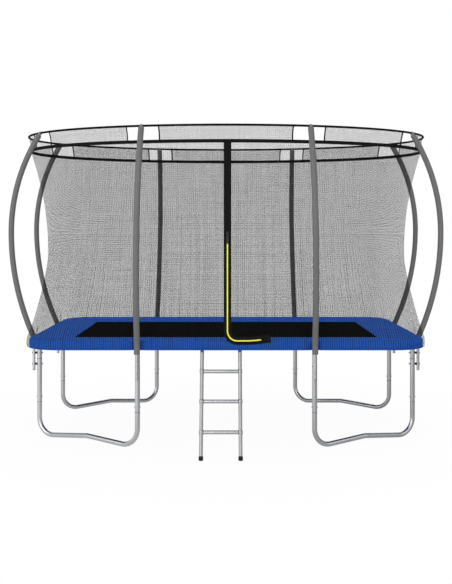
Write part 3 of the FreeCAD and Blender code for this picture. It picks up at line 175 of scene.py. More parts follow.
# Sizes and colours that a user would change
class TrampolineSettings(bpy.types.PropertyGroup):
    """Sizes and colours of the trampoline's finish."""

    foam_radius: bpy.props.FloatProperty(
        name="Foam Radius", description="Outer radius of the pole sleeves", default=0.0244, unit="LENGTH")
    mesh_pitch: bpy.props.FloatProperty(
        name="Mesh Pitch", description="Distance between the net's threads", default=0.00407, unit="LENGTH")
    mesh_thread: bpy.props.FloatProperty(
        name="Mesh Thread", description="Width of one plain thread of the net", default=0.00076, unit="LENGTH")
    mesh_rib: bpy.props.FloatProperty(
        name="Mesh Rib", description="Width of every fourth thread of the net", default=0.0013, unit="LENGTH")
    pad_puff: bpy.props.FloatProperty(
        name="Pad Puff", description="How far the pad's foam stands above its flat top", default=0.001, unit="LENGTH")
    spring_turns: bpy.props.IntProperty(
        name="Spring Turns", description="Turns of wire in one spring", default=30, min=8)
    tooth_pitch: bpy.props.FloatProperty(
        name="Tooth Pitch", description="Distance between teeth on the zip", default=0.006, unit="LENGTH")
    steel_colour: bpy.props.FloatVectorProperty(
        name="Steel", description="Zinc coat of the tubes", subtype="COLOR", default=paint(212, 213, 216))
    foam_colour: bpy.props.FloatVectorProperty(
        name="Foam Sleeves", description="Film round the foam sleeves", subtype="COLOR", default=paint(104, 104, 104))
    pad_colour: bpy.props.FloatVectorProperty(
        name="Pad", description="Coated cloth of the safety pad", subtype="COLOR", default=paint(49, 101, 200))
    net_colour: bpy.props.FloatVectorProperty(
        name="Net", description="Threads of the net", subtype="COLOR", default=paint(17, 18, 19))
    mat_colour: bpy.props.FloatVectorProperty(
        name="Mat", description="Woven jumping mat", subtype="COLOR", default=paint(11, 12, 12))
    webbing_colour: bpy.props.FloatVectorProperty(
        name="Webbing", description="Ring, band and zip tape", subtype="COLOR", default=paint(28, 28, 29))
    zip_colour: bpy.props.FloatVectorProperty(
        name="Zip", description="Teeth of the zip", subtype="COLOR", default=paint(250, 246, 84))
    floor_colour: bpy.props.FloatVectorProperty(
        name="Floor", description="Studio floor", subtype="COLOR", default=paint(240, 240, 240))
    key_power: bpy.props.FloatProperty(
        name="Key Light", description="Power of the large lamp", default=390.0, unit="POWER")
    fill_power: bpy.props.FloatProperty(
        name="Fill Light", description="Power of the lamps opposite", default=95.0, unit="POWER")


# Small helpers
def circle(radius, sides):
    return [(radius * math.cos(2 * math.pi * i / sides), radius * math.sin(2 * math.pi * i / sides))
            for i in range(sides)]


def smooth_step(low, high, value):
    share = min(1.0, max(0.0, (value - low) / (high - low)))
    return share * share * (3 - 2 * share)


def ripple(x, y, z=0.0):
    """Soft unevenness between -1 and 1, the same on each run."""
    return noise.noise(Vector((x, y, z)))


def oval(shape, turn, grow=0.0, height=None):
    """A point of the ring or the band, in the finished model's place."""
    angle = math.radians(turn)
    z = shape[2] if height is None else height
    return Vector(((shape[0] + grow) * math.cos(angle), (shape[1] + grow) * math.sin(angle) + SET_BACK, z))


def path_frames(path, up=Vector((0, 0, 1)), loop=False):
    """Direction, side and upright of each point of a path, turned as little as possible."""
    frames = []
    side = None
    for i in range(len(path)):
        after = path[(i + 1) % len(path)] if loop else path[min(i + 1, len(path) - 1)]
        before = path[i - 1] if loop else path[max(i - 1, 0)]
        ahead = (after - before).normalized()
        if side is None:
            side = ahead.cross(up)
            if side.length < 1e-4:
                side = ahead.cross(Vector((0, 1, 0)))
        side = (side - ahead * side.dot(ahead)).normalized()
        frames.append((ahead, side, side.cross(ahead).normalized()))
    return frames


class Shape:
    """Points, faces and cloth coordinates that become one piece."""

    def __init__(self):
        self.points, self.faces, self.cloth = [], [], []

    def skin(self, rows, across=False, along=False, lids=False, place=None):
        """Faces over rows of points: across closes each row, along joins the last row to the first."""
        count, first = len(rows[0]), len(self.points)
        middle = rows[len(rows) // 2]
        u_steps, v_steps = [0.0], [0.0]
        for j in range(count):
            u_steps.append(u_steps[-1] + (Vector(middle[(j + 1) % count]) - Vector(middle[j])).length)
        for i in range(len(rows)):
            there = rows[(i + 1) % len(rows)]
            v_steps.append(v_steps[-1] + (Vector(there[count // 2]) - Vector(rows[i][count // 2])).length)
        for row in rows:
            for point in row:
                self.points.append(place @ Vector(point) if place else Vector(point))
        for i in range(len(rows) if along else len(rows) - 1):
            for j in range(count if across else count - 1):
                k, l = (i + 1) % len(rows), (j + 1) % count
                self.faces.append([first + i * count + j, first + i * count + l,
                                   first + k * count + l, first + k * count + j])
                self.cloth += [(u_steps[j], v_steps[i]), (u_steps[j + 1], v_steps[i]),
                               (u_steps[j + 1], v_steps[i + 1]), (u_steps[j], v_steps[i + 1])]
        if lids:
            last = first + (len(rows) - 1) * count
            self.face([first + j for j in reversed(range(count))])
            self.face([last + j for j in range(count)])

    def face(self, corners):
        self.faces.append(corners)
        start = self.points[corners[0]]
        ahead = (self.points[corners[1]] - start).normalized()
        self.cloth += [((self.points[c] - start).dot(ahead), (self.points[c] - start).cross(ahead).length)
                       for c in corners]

    def tube(self, path, radius, sides=12, lids=True, loop=False, up=Vector((0, 0, 1)), place=None):
        """A round section along a path; radius is a number or a function of the point's index and angle."""
        rows = []
        for i, (point, (_, side, upright)) in enumerate(zip(path, path_frames(path, up, loop))):
            row = []
            for j in range(sides):
                angle = 2 * math.pi * j / sides
                reach = radius(i, angle) if callable(radius) else radius
                row.append(point + side * (reach * math.cos(angle)) + upright * (reach * math.sin(angle)))
            rows.append(row)
        self.skin(rows, across=True, along=loop, lids=lids and not loop, place=place)

    def ribbon(self, path, half_width, half_depth, loop=False, up=Vector((0, 0, 1))):
        """A flat strap with softened edges: its width runs along the upright of the path."""
        corner = 0.35 * half_depth
        section = [(half_depth, -half_width + corner), (half_depth, half_width - corner),
                   (half_depth - corner, half_width), (-half_depth + corner, half_width),
                   (-half_depth, half_width - corner), (-half_depth, -half_width + corner),
                   (-half_depth + corner, -half_width), (half_depth - corner, -half_width)]
        rows = [[point + side * a + upright * b for a, b in section]
                for point, (_, side, upright) in zip(path, path_frames(path, up, loop))]
        self.skin(rows, across=True, along=loop, lids=not loop)

    def lathe(self, profile, sides, place):
        """A turned part about Z, from (radius, height) pairs."""
        rows = [[(x, y, height) for x, y in circle(max(radius, 1e-5), sides)] for radius, height in profile]
        self.skin(rows, across=True, lids=True, place=place)

    def block(self, half, place=None, bevel=0.15):
        """A small block with softened edges."""
        hx, hy, hz = half
        cut = bevel * min(half)
        layers = [(hx - cut, hy - cut, -hz), (hx, hy, -hz + cut), (hx, hy, hz - cut), (hx - cut, hy - cut, hz)]
        rows = [[(-x + cut, -y, z), (x - cut, -y, z), (x, -y + cut, z), (x, y - cut, z),
                 (x - cut, y, z), (-x + cut, y, z), (-x, y - cut, z), (-x, -y + cut, z)] for x, y, z in layers]
        self.skin(rows, across=True, lids=True, place=place)

    def piece(self, name, material, slot=None, body="frame", crease=40.0):
        mesh = bpy.data.meshes.new(name)
        mesh.from_pydata(self.points, [], self.faces)
        layer = mesh.uv_layers.new(name="cloth")
        layer.uv.foreach_set("vector", [value for pair in self.cloth for value in pair])
        mesh.polygons.foreach_set("use_smooth", [True] * len(mesh.polygons))
        mesh.set_sharp_from_angle(angle=math.radians(crease))
        mesh.materials.append(material)
        thing = bpy.data.objects.new(name, mesh)
        bpy.context.scene.collection.objects.link(thing)
        if body:
            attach(thing, body)
        return thing


# Materials
class Finish:
    """A material made of nodes, with short calls for the patterns used again and again."""

    def __init__(self, name, **sockets):
        self.material = bpy.data.materials.new(name)
        self.material.use_nodes = True
        self.tree = self.material.node_tree
        self.shader = self.tree.nodes["Principled BSDF"]
        self.spot = self.tree.nodes.new("ShaderNodeTexCoord").outputs["Object"]
        cloth = self.tree.nodes.new("ShaderNodeUVMap")
        cloth.uv_map = "cloth"
        self.cloth = cloth.outputs["UV"]
        for socket, value in sockets.items():
            self.put(self.shader, socket.replace("_", " "), value)

    def put(self, node, socket, value):
        target = node.inputs[socket]
        if isinstance(value, bpy.types.NodeSocket):
            self.tree.links.new(value, target)
        elif hasattr(value, "__len__") and len(value) == 3 and target.type == "RGBA":
            target.default_value = (*value, 1.0)
        else:
            target.default_value = value

    def node(self, kind, inputs, **settings):
        made = self.tree.nodes.new(kind)
        for setting, value in settings.items():
            setattr(made, setting, value)
        for socket, value in inputs.items():
            self.put(made, socket, value)
        return made

    def math(self, operation, first, second=0.0, third=0.0):
        return self.node("ShaderNodeMath", {0: first, 1: second, 2: third}, operation=operation).outputs[0]

    def clouds(self, scale, detail, stretch=(1, 1, 1), source=None):
        where = self.node("ShaderNodeMapping", {"Vector": source or self.spot, "Scale": stretch}).outputs["Vector"]
        return self.node("ShaderNodeTexNoise", {"Vector": where, "Scale": scale, "Detail": detail,
                                                "Roughness": 0.5}).outputs["Fac"]

    def between(self, share, low, high, start=0.0, end=1.0):
        """A number that goes from low to high as share goes from start to end."""
        return self.node("ShaderNodeMapRange", {"Value": share, "From Min": start, "From Max": end,
                                                "To Min": low, "To Max": high}).outputs["Result"]

    def blend(self, share, first, second):
        mix = self.node("ShaderNodeMix", {0: share}, data_type="RGBA")
        self.put(mix, 6, first)
        self.put(mix, 7, second)
        return mix.outputs[2]

    def tones(self, share, colour, dark, light):
        """The colour made darker or lighter by a factor, as share goes from 0 to 1."""
        return self.blend(share, shade(colour, dark), shade(colour, light))

    def weigh(self, first, share, second):
        """Two patterns in one: the first by its share, the second by the rest."""
        return self.math("MULTIPLY_ADD", first, share, self.math("MULTIPLY", second, 1 - share))

    def bump(self, height, strength, distance, below=None):
        inputs = {"Height": height, "Strength": strength, "Distance": distance}
        if below is not None:
            inputs["Normal"] = below
        return self.node("ShaderNodeBump", inputs).outputs["Normal"]

    def axes(self, source):
        return self.node("ShaderNodeSeparateXYZ", {"Vector": source}).outputs

    def threads(self, value, pitch):
        """From 0 between two threads to 1 on a thread, for a coordinate in metres."""
        return self.between(self.math("PINGPONG", value, pitch / 2), 1.0, 0.0, 0.0, pitch / 2)

    def use(self, **sockets):
        for socket, value in sockets.items():
            self.put(self.shader, socket.replace("_", " "), value)
        return self.material


def shade(colour, factor):
    return tuple(min(1.0, c * factor) for c in colour)


finishes = {}


def finish(name):
    """The named material, made when it is first asked for."""
    if name not in finishes:
        finishes[name] = FINISH_MAKERS[name](bpy.context.scene.trampoline)
    return finishes[name]


def galvanised_steel(values, name="Galvanised steel", painted_shade=0.0, matt=0.0):
    """Zinc-coated tube: fine spangle, rolled streaks and a few darker patches; a copy can be darkened all over, which
    is painted shade.
    """
    coat = Finish(name, Metallic=1.0)
    cells = coat.node("ShaderNodeTexVoronoi", {"Vector": coat.spot, "Scale": 190.0, "Randomness": 1.0})
    spangle = cells.outputs["Color"]
    grey = coat.node("ShaderNodeRGBToBW", {"Color": spangle}).outputs[0]
    patch = coat.clouds(7.0, 4.0)
    streak = coat.clouds(60.0, 2.0, (1, 1, 0.05))
    tone = coat.weigh(grey, 0.25, patch)
    # The darkening argument lowers the colour's whole range: painted shade, for the copy on the ladder
    colour = coat.tones(tone, values.steel_colour, 0.80 - painted_shade, 1.04 - painted_shade)
    rough = coat.math("ADD", coat.between(streak, 0.22 + matt, 0.32 + matt), coat.math("MULTIPLY", grey, 0.06))
    relief = coat.bump(streak, 0.12, 0.0006, coat.bump(grey, 0.06, 0.0003))
    return coat.use(Base_Color=colour, Roughness=rough, Normal=relief)


def ladder_steel(values):
    # The ladder's steel: rougher, and darkened all over, which is painted shade
    return galvanised_steel(values, "Ladder steel with painted shade", 0.21, 0.20)


def weld_metal(values):
    bead = Finish("Weld", Metallic=1.0)
    grain = bead.clouds(260.0, 4.0)
    colour = bead.tones(grain, values.steel_colour, 0.35, 0.75)
    return bead.use(Base_Color=colour, Roughness=bead.between(grain, 0.35, 0.6), Normal=bead.bump(grain, 0.5, 0.0008))


def zinc_fixing(values):
    zinc = Finish("Zinc fixings", Metallic=1.0)
    grain = zinc.clouds(420.0, 3.0)
    colour = zinc.tones(grain, values.steel_colour, 0.6, 0.95)
    return zinc.use(Base_Color=colour, Roughness=zinc.between(grain, 0.22, 0.42), Normal=zinc.bump(grain, 0.2, 0.0003))


def foam_film(values):
    """Thin film shrunk over foam: a faint lengthwise grain and soft unevenness underneath."""
    film = Finish("Foam sleeve film", Coat_Weight=0.06, Coat_Roughness=0.35, Specular_IOR_Level=0.35)
    grain = film.clouds(900.0, 2.0, (1, 1, 0.12))
    soft = film.clouds(26.0, 3.0)
    tone = film.weigh(grain, 0.35, soft)
    colour = film.tones(tone, values.foam_colour, 0.86, 1.14)
    relief = film.bump(soft, 0.25, 0.002, film.bump(grain, 0.25, 0.0003))
    return film.use(Base_Color=colour, Roughness=film.between(soft, 0.5, 0.68), Normal=relief)


def moulded_plastic(values, name="Black moulded plastic", colour=None):
    part = Finish(name, Specular_IOR_Level=0.4)
    colour = colour or paint(30, 30, 31)
    grain = part.clouds(1100.0, 2.0)
    wear = part.clouds(30.0, 4.0)
    tone = part.tones(wear, colour, 0.85, 1.25)
    return part.use(Base_Color=tone, Roughness=part.between(wear, 0.42, 0.62), Normal=part.bump(grain, 0.3, 0.0003))


def cap_plastic(values):
    return moulded_plastic(values, "Pole cap plastic", shade(values.foam_colour, 1.5))


def rubber(values):
    part = Finish("Black rubber", Specular_IOR_Level=0.3)
    grain = part.clouds(700.0, 3.0)
    dust = part.clouds(24.0, 5.0)
    tone = part.blend(dust, paint(22, 22, 22), paint(44, 43, 42))
    return part.use(Base_Color=tone, Roughness=part.between(dust, 0.6, 0.82), Normal=part.bump(grain, 0.4, 0.0004))


def woven_webbing(values, name="Woven webbing", pitch=0.0016):
    """Ribbed polyester webbing: diagonal yarns over a fine weave."""
    web = Finish(name, Specular_IOR_Level=0.08)
    along = web.axes(web.cloth)
    first = web.threads(web.math("ADD", along[0], along[1]), pitch)
    second = web.threads(web.math("SUBTRACT", along[0], along[1]), pitch * 1.6)
    weave = web.weigh(first, 0.6, second)
    age = web.clouds(18.0, 4.0)
    tone = web.weigh(weave, 0.6, age)
    colour = web.tones(tone, values.webbing_colour, 0.5, 1.35)
    return web.use(Base_Color=colour, Roughness=web.between(age, 0.72, 0.9), Normal=web.bump(weave, 0.5, 0.0005))


def zip_cloth(values):
    return woven_webbing(values, "Zip tape cloth", 0.0024)


def knitted_net(values):
    """Fine knitted mesh: open squares between threads, every fourth a rib that is thicker near the pad."""
    net = Finish("Knitted net", Specular_IOR_Level=0.08)
    along = net.axes(net.cloth)
    pitch = values.mesh_pitch
    low = net.between(along[1], 1.0, 0.0, 0.10, 0.30)
    sideways = net.math("ABSOLUTE", net.axes(net.spot)[0])
    low = net.math("MULTIPLY", low, net.between(sideways, 1.0, 0.0, 1.52, 1.62))
    cover = []
    for value, stretch, uneven, change in ((along[0], (46.0, 0.8, 1.0), 0.24, 0.0004),
                                           (along[1], (0.8, 46.0, 1.0), 0.15, 0.0)):
        streak = net.clouds(1.0, 2.0, stretch, net.cloth)
        rib = net.between(net.threads(value, 4 * pitch), 0.0, 1.0, 0.70, 0.78)
        plain = net.math("MULTIPLY_ADD", low, -change, values.mesh_thread)
        thicker = net.math("MULTIPLY_ADD", low, change * 5, values.mesh_rib - values.mesh_thread)
        width = net.math("MULTIPLY_ADD", rib, thicker, plain)
        width = net.math("MULTIPLY", width, net.between(streak, 1 - uneven, 1 + uneven, 0.3, 0.7))
        width = net.math("MULTIPLY", width, net.between(sideways, 1.0, 0.85, 1.52, 1.66))
        reach = net.math("MULTIPLY_ADD", width, -1 / pitch, 1.0)
        above = net.math("SUBTRACT", net.threads(value, pitch), reach)
        cover.append(net.between(above, 0.0, 1.0, -0.045, 0.045))
    threads = net.math("MAXIMUM", cover[0], cover[1])
    rays = net.tree.nodes.new("ShaderNodeLightPath")
    lit = net.math("MAXIMUM", rays.outputs["Is Shadow Ray"], rays.outputs["Is Diffuse Ray"])
    threads = net.math("MULTIPLY", threads, net.between(lit, 1.0, 0.25))
    age = net.clouds(8.0, 3.0)
    colour = net.tones(age, values.net_colour, 0.7, 1.3)
    return net.use(Base_Color=colour, Roughness=net.between(age, 0.75, 0.9), Alpha=threads)


def net_hem(values):
    """The same net folded twice and sewn, so hardly any light comes through."""
    hem = Finish("Folded net hem")
    along = hem.axes(hem.cloth)
    close = hem.threads(along[0], values.mesh_pitch / 2)
    shadow = hem.clouds(12.0, 3.0)
    tone = hem.weigh(close, 0.5, shadow)
    colour = hem.tones(tone, values.net_colour, 0.8, 1.5)
    return hem.use(Base_Color=colour, Roughness=0.85, Normal=hem.bump(close, 0.4, 0.0005))


def coated_cloth(values):
    """Laminated woven cloth of the pad: flat tapes under a slightly glossy coat."""
    coat = Finish("Blue coated cloth", Specular_IOR_Level=0.008)
    along = coat.axes(coat.cloth)
    warp = coat.threads(along[0], 0.012)
    weft = coat.threads(along[1], 0.012)
    weave = coat.math("MULTIPLY", coat.between(warp, 0.0, 1.0, 0.15, 0.5), coat.between(weft, 0.0, 1.0, 0.15, 0.5))
    crease = coat.clouds(11.0, 5.0)
    dirt = coat.clouds(3.0, 4.0)
    tone = coat.weigh(weave, 0.55, dirt)
    colour = coat.tones(tone, values.pad_colour, 0.76, 1.14)
    relief = coat.bump(crease, 0.22, 0.006, coat.bump(weave, 0.35, 0.0006))
    return coat.use(Base_Color=colour, Roughness=coat.between(crease, 0.50, 0.66), Normal=relief)


def mat_cloth(values):
    """Flat black tapes woven tight, a little shiny where they are rubbed."""
    cloth = Finish("Woven mat", Specular_IOR_Level=0.01)
    along = cloth.axes(cloth.cloth)
    warp, weft = cloth.threads(along[0], 0.0032), cloth.threads(along[1], 0.0032)
    weave = cloth.math("MULTIPLY", warp, weft)
    rub = cloth.clouds(2.2, 5.0)
    tone = cloth.weigh(weave, 0.6, rub)
    colour = cloth.tones(tone, values.mat_colour, 0.6, 1.5)
    relief = cloth.bump(weave, 0.5, 0.0006)
    return cloth.use(Base_Color=colour, Roughness=cloth.between(rub, 0.8, 0.95), Normal=relief)


def zip_plastic(values):
    part = Finish("Yellow zip", Specular_IOR_Level=0.5)
    wear = part.clouds(90.0, 3.0)
    colour = part.tones(wear, values.zip_colour, 0.86, 1.05)
    return part.use(Base_Color=colour, Roughness=part.between(wear, 0.3, 0.5))


def painted_metal(values):
    part = Finish("Black painted metal", Specular_IOR_Level=0.3)
    wear = part.clouds(160.0, 4.0)
    colour = part.blend(wear, paint(20, 20, 21), paint(58, 58, 60))
    return part.use(Base_Color=colour, Roughness=part.between(wear, 0.3, 0.5), Normal=part.bump(wear, 0.15, 0.0003))


FINISH_MAKERS = {
    "steel": galvanised_steel, "ladder": ladder_steel, "weld": weld_metal, "zinc": zinc_fixing, "foam": foam_film,
    "plastic": moulded_plastic, "cap": cap_plastic, "rubber": rubber, "webbing": woven_webbing, "zip_cloth": zip_cloth,
    "net": knitted_net, "hem": net_hem, "pad": coated_cloth, "mat": mat_cloth, "zip": zip_plastic,
    "painted": painted_metal,
}


def dress(finish_name, *nodes):
    """Gives construction nodes that stay in view their finished material."""
    for node in nodes:
        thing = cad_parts[node]
        thing.data.materials.clear()
        thing.data.materials.append(finish(finish_name))


class Build(bpy.types.Operator):
    """Makes one group of pieces."""

    bl_options = {"REGISTER", "UNDO"}

    def execute(self, context):
        self.make(context.scene.trampoline)
        return {"FINISHED"}


# Studio
class TRAMPOLINE_OT_stage(Build):
    """Sets the camera, the lamps, the white surroundings and the floor"""

    bl_idname = "trampoline.stage"
    bl_label = "Stage"

    def make(self, values):
        scene = bpy.context.scene
        scene.view_settings.view_transform = "Standard"
        camera = bpy.data.objects.new("Camera", bpy.data.cameras.new("Camera"))
        camera.data.lens = CAMERA_LENS
        camera.data.sensor_width = CAMERA_SENSOR
        camera.data.shift_y = CAMERA_SHIFT
        camera.location = (0.0, SET_BACK - CAMERA_DISTANCE, CAMERA_HEIGHT)
        camera.rotation_euler = (math.radians(90), 0, 0)
        scene.collection.objects.link(camera)
        scene.camera = camera
        lamps = [("Key", (-3.8, -7.0, 4.8), 9.0, values.key_power), ("Fill", (5.5, -4.5, 4.2), 6.0, values.fill_power),
                 ("Back", (0.5, 6.5, 6.0), 7.0, values.fill_power)]
        for name, place, width, power in lamps:
            lamp = bpy.data.objects.new(name, bpy.data.lights.new(name, "AREA"))
            lamp.data.size = width
            lamp.data.energy = power
            lamp.visible_camera = False
            lamp.location = place
            lamp.rotation_euler = (Vector((0, 0, 1.2)) - Vector(place)).to_track_quat("-Z", "Y").to_euler()
            scene.collection.objects.link(lamp)
        self.surroundings(scene)
        self.floor(values)

    def surroundings(self, scene):
        """Even light from all round, plain white for the camera and a shaded white for metal."""
        world = bpy.data.worlds.new("Studio")
        scene.world = world
        world.use_nodes = True
        tree = world.node_tree
        light, seen, mirrored = tree.nodes["Background"], *(tree.nodes.new("ShaderNodeBackground") for _ in range(2))
        for background, strength in ((light, 0.58), (seen, 1.0)):
            background.inputs["Color"].default_value = (1, 1, 1, 1)
            background.inputs["Strength"].default_value = strength
        self.side_shade(tree, mirrored)
        rays = tree.nodes.new("ShaderNodeLightPath").outputs
        either = tree.nodes.new("ShaderNodeMath")
        either.operation = "MAXIMUM"
        reflected, mix = (tree.nodes.new("ShaderNodeMixShader") for _ in range(2))
        for source, target in ((rays["Is Glossy Ray"], either.inputs[0]),
                               (rays["Is Transmission Ray"], either.inputs[1]),
                               (either.outputs[0], reflected.inputs[0]), (light.outputs[0], reflected.inputs[1]),
                               (mirrored.outputs[0], reflected.inputs[2]), (rays["Is Camera Ray"], mix.inputs[0]),
                               (reflected.outputs[0], mix.inputs[1]), (seen.outputs[0], mix.inputs[2]),
                               (mix.outputs[0], tree.nodes["World Output"].inputs["Surface"])):
            tree.links.new(source, target)

    def side_shade(self, tree, background):
        """What metal mirrors: the white studio, which is dimmer to the right and overhead."""
        place = tree.nodes.new("ShaderNodeTexCoord")
        axes = tree.nodes.new("ShaderNodeSeparateXYZ")
        tree.links.new(place.outputs["Generated"], axes.inputs[0])
        both = tree.nodes.new("ShaderNodeMath")
        both.operation = "MULTIPLY"
        for axis, low, high, least in ((0, -0.3, 0.8, 0.38), (2, 0.15, 0.75, 0.45)):
            fall = tree.nodes.new("ShaderNodeMapRange")
            tree.links.new(axes.outputs[axis], fall.inputs["Value"])
            for socket, value in (("From Min", low), ("From Max", high), ("To Min", 1.0), ("To Max", least)):
                fall.inputs[socket].default_value = value
            tree.links.new(fall.outputs["Result"], both.inputs[0 if axis == 0 else 1])
        tree.links.new(both.outputs[0], background.inputs["Strength"])

    def floor(self, values):
        """A matt floor whose shadow fades to white away from the trampoline. Metal mirrors it as a white glow with
        painted shade: dimmer to the right, towards the back and near the trampoline.
        """
        ground = Shape()
        ring_radii = [0.0, 2.0, 4.0, 6.0, 9.0, 14.0, 30.0]
        rows = [[(x, y + SET_BACK, 0.0) for x, y in circle(max(radius, 1e-3), 48)] for radius in ring_radii]
        ground.skin(rows, across=True)
        surface = Finish("Studio floor", Roughness=0.85, Specular_IOR_Level=0.2)
        grain = surface.clouds(40.0, 3.0)
        surface.use(Base_Color=surface.blend(grain, shade(values.floor_colour, 0.985), values.floor_colour))
        away = surface.node("ShaderNodeVectorMath", {0: surface.spot, 1: (0.0, SET_BACK, 0.0)}, operation="DISTANCE")
        fade = surface.between(away.outputs["Value"], 0.96, 1.0, 1.4, 3.6)
        rays = surface.tree.nodes.new("ShaderNodeLightPath")
        mirrored = surface.math("MAXIMUM", rays.outputs["Is Glossy Ray"], rays.outputs["Is Transmission Ray"])
        share = surface.math("MULTIPLY", fade, surface.math("MAXIMUM", rays.outputs["Is Camera Ray"], mirrored))
        across = surface.axes(surface.spot)
        # Painted shade in the floor's glow that metal mirrors: dimmer to the right, towards the back and near the
        # trampoline
        painted_floor_shade = surface.math("MULTIPLY", surface.between(across[0], 0.95, 0.38, -3.0, 2.5),
                              surface.between(across[1], 1.0, 0.72, -0.9, 0.8))
        painted_floor_shade = surface.math("MULTIPLY", painted_floor_shade, surface.between(away.outputs["Value"], 0.84, 1.0, 1.7, 2.4))
        strength = surface.math("MULTIPLY_ADD", mirrored, surface.math("SUBTRACT", painted_floor_shade, 1.0), 1.0)
        white = surface.node("ShaderNodeEmission", {"Color": (1, 1, 1), "Strength": strength})
        mix = surface.node("ShaderNodeMixShader", {0: share, 1: surface.shader.outputs[0], 2: white.outputs[0]})
        surface.tree.links.new(mix.outputs[0], surface.tree.nodes["Material Output"].inputs["Surface"])
        floor = ground.piece("Studio_floor", surface.material, body=None)


# Steel frame
def leg_place(x, y, turn, height=0.0):
    return Matrix.Translation((x, y + SET_BACK, height)) @ Matrix.Rotation(math.radians(turn), 4, "Z")


class TRAMPOLINE_OT_steel(Build):
    """Finishes the tubes and adds welds, joint rims and joint screws"""

    bl_idname = "trampoline.steel"
    bl_label = "Steel Frame"

    def make(self, values):
        tubes = ["rail_front", "rail_back", "rail_left", "rail_right", "tee_joints"]
        tubes += ["%s_%s_%s" % (kind, a, b) for kind in ("corner", "leg_base") for a in ("front", "back")
                  for b in ("left", "right")]
        tubes += [kind + leg[0] for leg in LEGS for kind in ("upright_", "pole_")]
        dress("steel", *tubes)
        self.welds()
        self.rims()
        self.screws()

    def welds(self):
        """The bead round each tee, where the leg's stub meets the underside of the rail."""
        path = [Vector((x, side, -math.sqrt(TUBE_RADIUS ** 2 - side ** 2) - 0.001))
                for x, side in circle(TUBE_RADIUS - 0.0002, 48)]
        beads = Shape()
        for _, x, y, turn in LEGS:
            beads.tube(path, lambda i, a: 0.0026 + 0.0006 * math.sin(i * 2.1), 8, loop=True,
                       place=leg_place(x, y, turn + 90, RAIL_HEIGHT))
        beads.piece("tee_welds", finish("weld"), "galvanised_steel")

    def rims(self):
        """The rolled lips where one tube slides into the next, and a thin dark ring above each leg joint: painted
        shade in the gap where the tubes meet, made with the black rubber finish.
        """
        lips, gap_shade_rings = Shape(), Shape()
        gap = [(TUBE_RADIUS + 0.0001, -0.0011), (TUBE_RADIUS + 0.0005, -0.0009), (TUBE_RADIUS + 0.0005, 0.0009),
               (TUBE_RADIUS + 0.0001, 0.0011)]
        profile = [(TUBE_RADIUS - 0.0006, -0.0022), (TUBE_RADIUS + 0.0006, -0.0016), (TUBE_RADIUS + 0.0009, -0.0003),
                   (TUBE_RADIUS - 0.0012, 0.0), (TUBE_RADIUS + 0.0009, 0.0003), (TUBE_RADIUS + 0.0006, 0.0016),
                   (TUBE_RADIUS - 0.0006, 0.0022)]
        for _, x, y, turn in LEGS:
            for height in (TEE_FOOT, BASE_TOP):
                lips.lathe(profile, 32, leg_place(x, y, 0, height))
                # The dark ring just above each lip is painted shade, not dirt
                gap_shade_rings.lathe(gap, 32, leg_place(x, y, 0, height + 0.0030))
            for side in (-1, 1):
                level = leg_place(x, y, turn + 90, RAIL_HEIGHT) @ Matrix.Translation((side * TEE_ARM, 0, 0))
                lips.lathe(profile, 32, level @ QUARTER_TURN)
        lips.piece("tube_joint_lips", finish("zinc"), "galvanised_steel")
        # Painted shade of the joints' gaps, in the black rubber finish
        gap_shade_rings.piece("tube_joint_painted_shade", finish("rubber"), "galvanised_steel")

    def screws(self):
        """Self-drilling screws through each leg joint, a washer head on both sides of the tube."""
        heads = Shape()
        washer = [(0.0, 0.0), (0.0062, 0.0), (0.0066, 0.0006), (0.0058, 0.0014), (0.0042, 0.0018)]
        hexagon = [(0.0043, 0.0), (0.0043, 0.0036), (0.0037, 0.0043), (0.0, 0.0044)]
        for _, x, y, _ in LEGS:
            for side in (-1, 1):
                place = leg_place(x, y, 0, BASE_SCREW) @ Matrix.Translation((side * (TUBE_RADIUS - 0.0004), 0, 0))
                place = place @ Matrix.Rotation(math.radians(90 * side), 4, "Y")
                heads.lathe(washer, 20, place)
                heads.lathe(hexagon, 6, place @ Matrix.Translation((0, 0, 0.0016)))
        heads.piece("joint_screws", finish("zinc"), "zinc_fixings", crease=30)


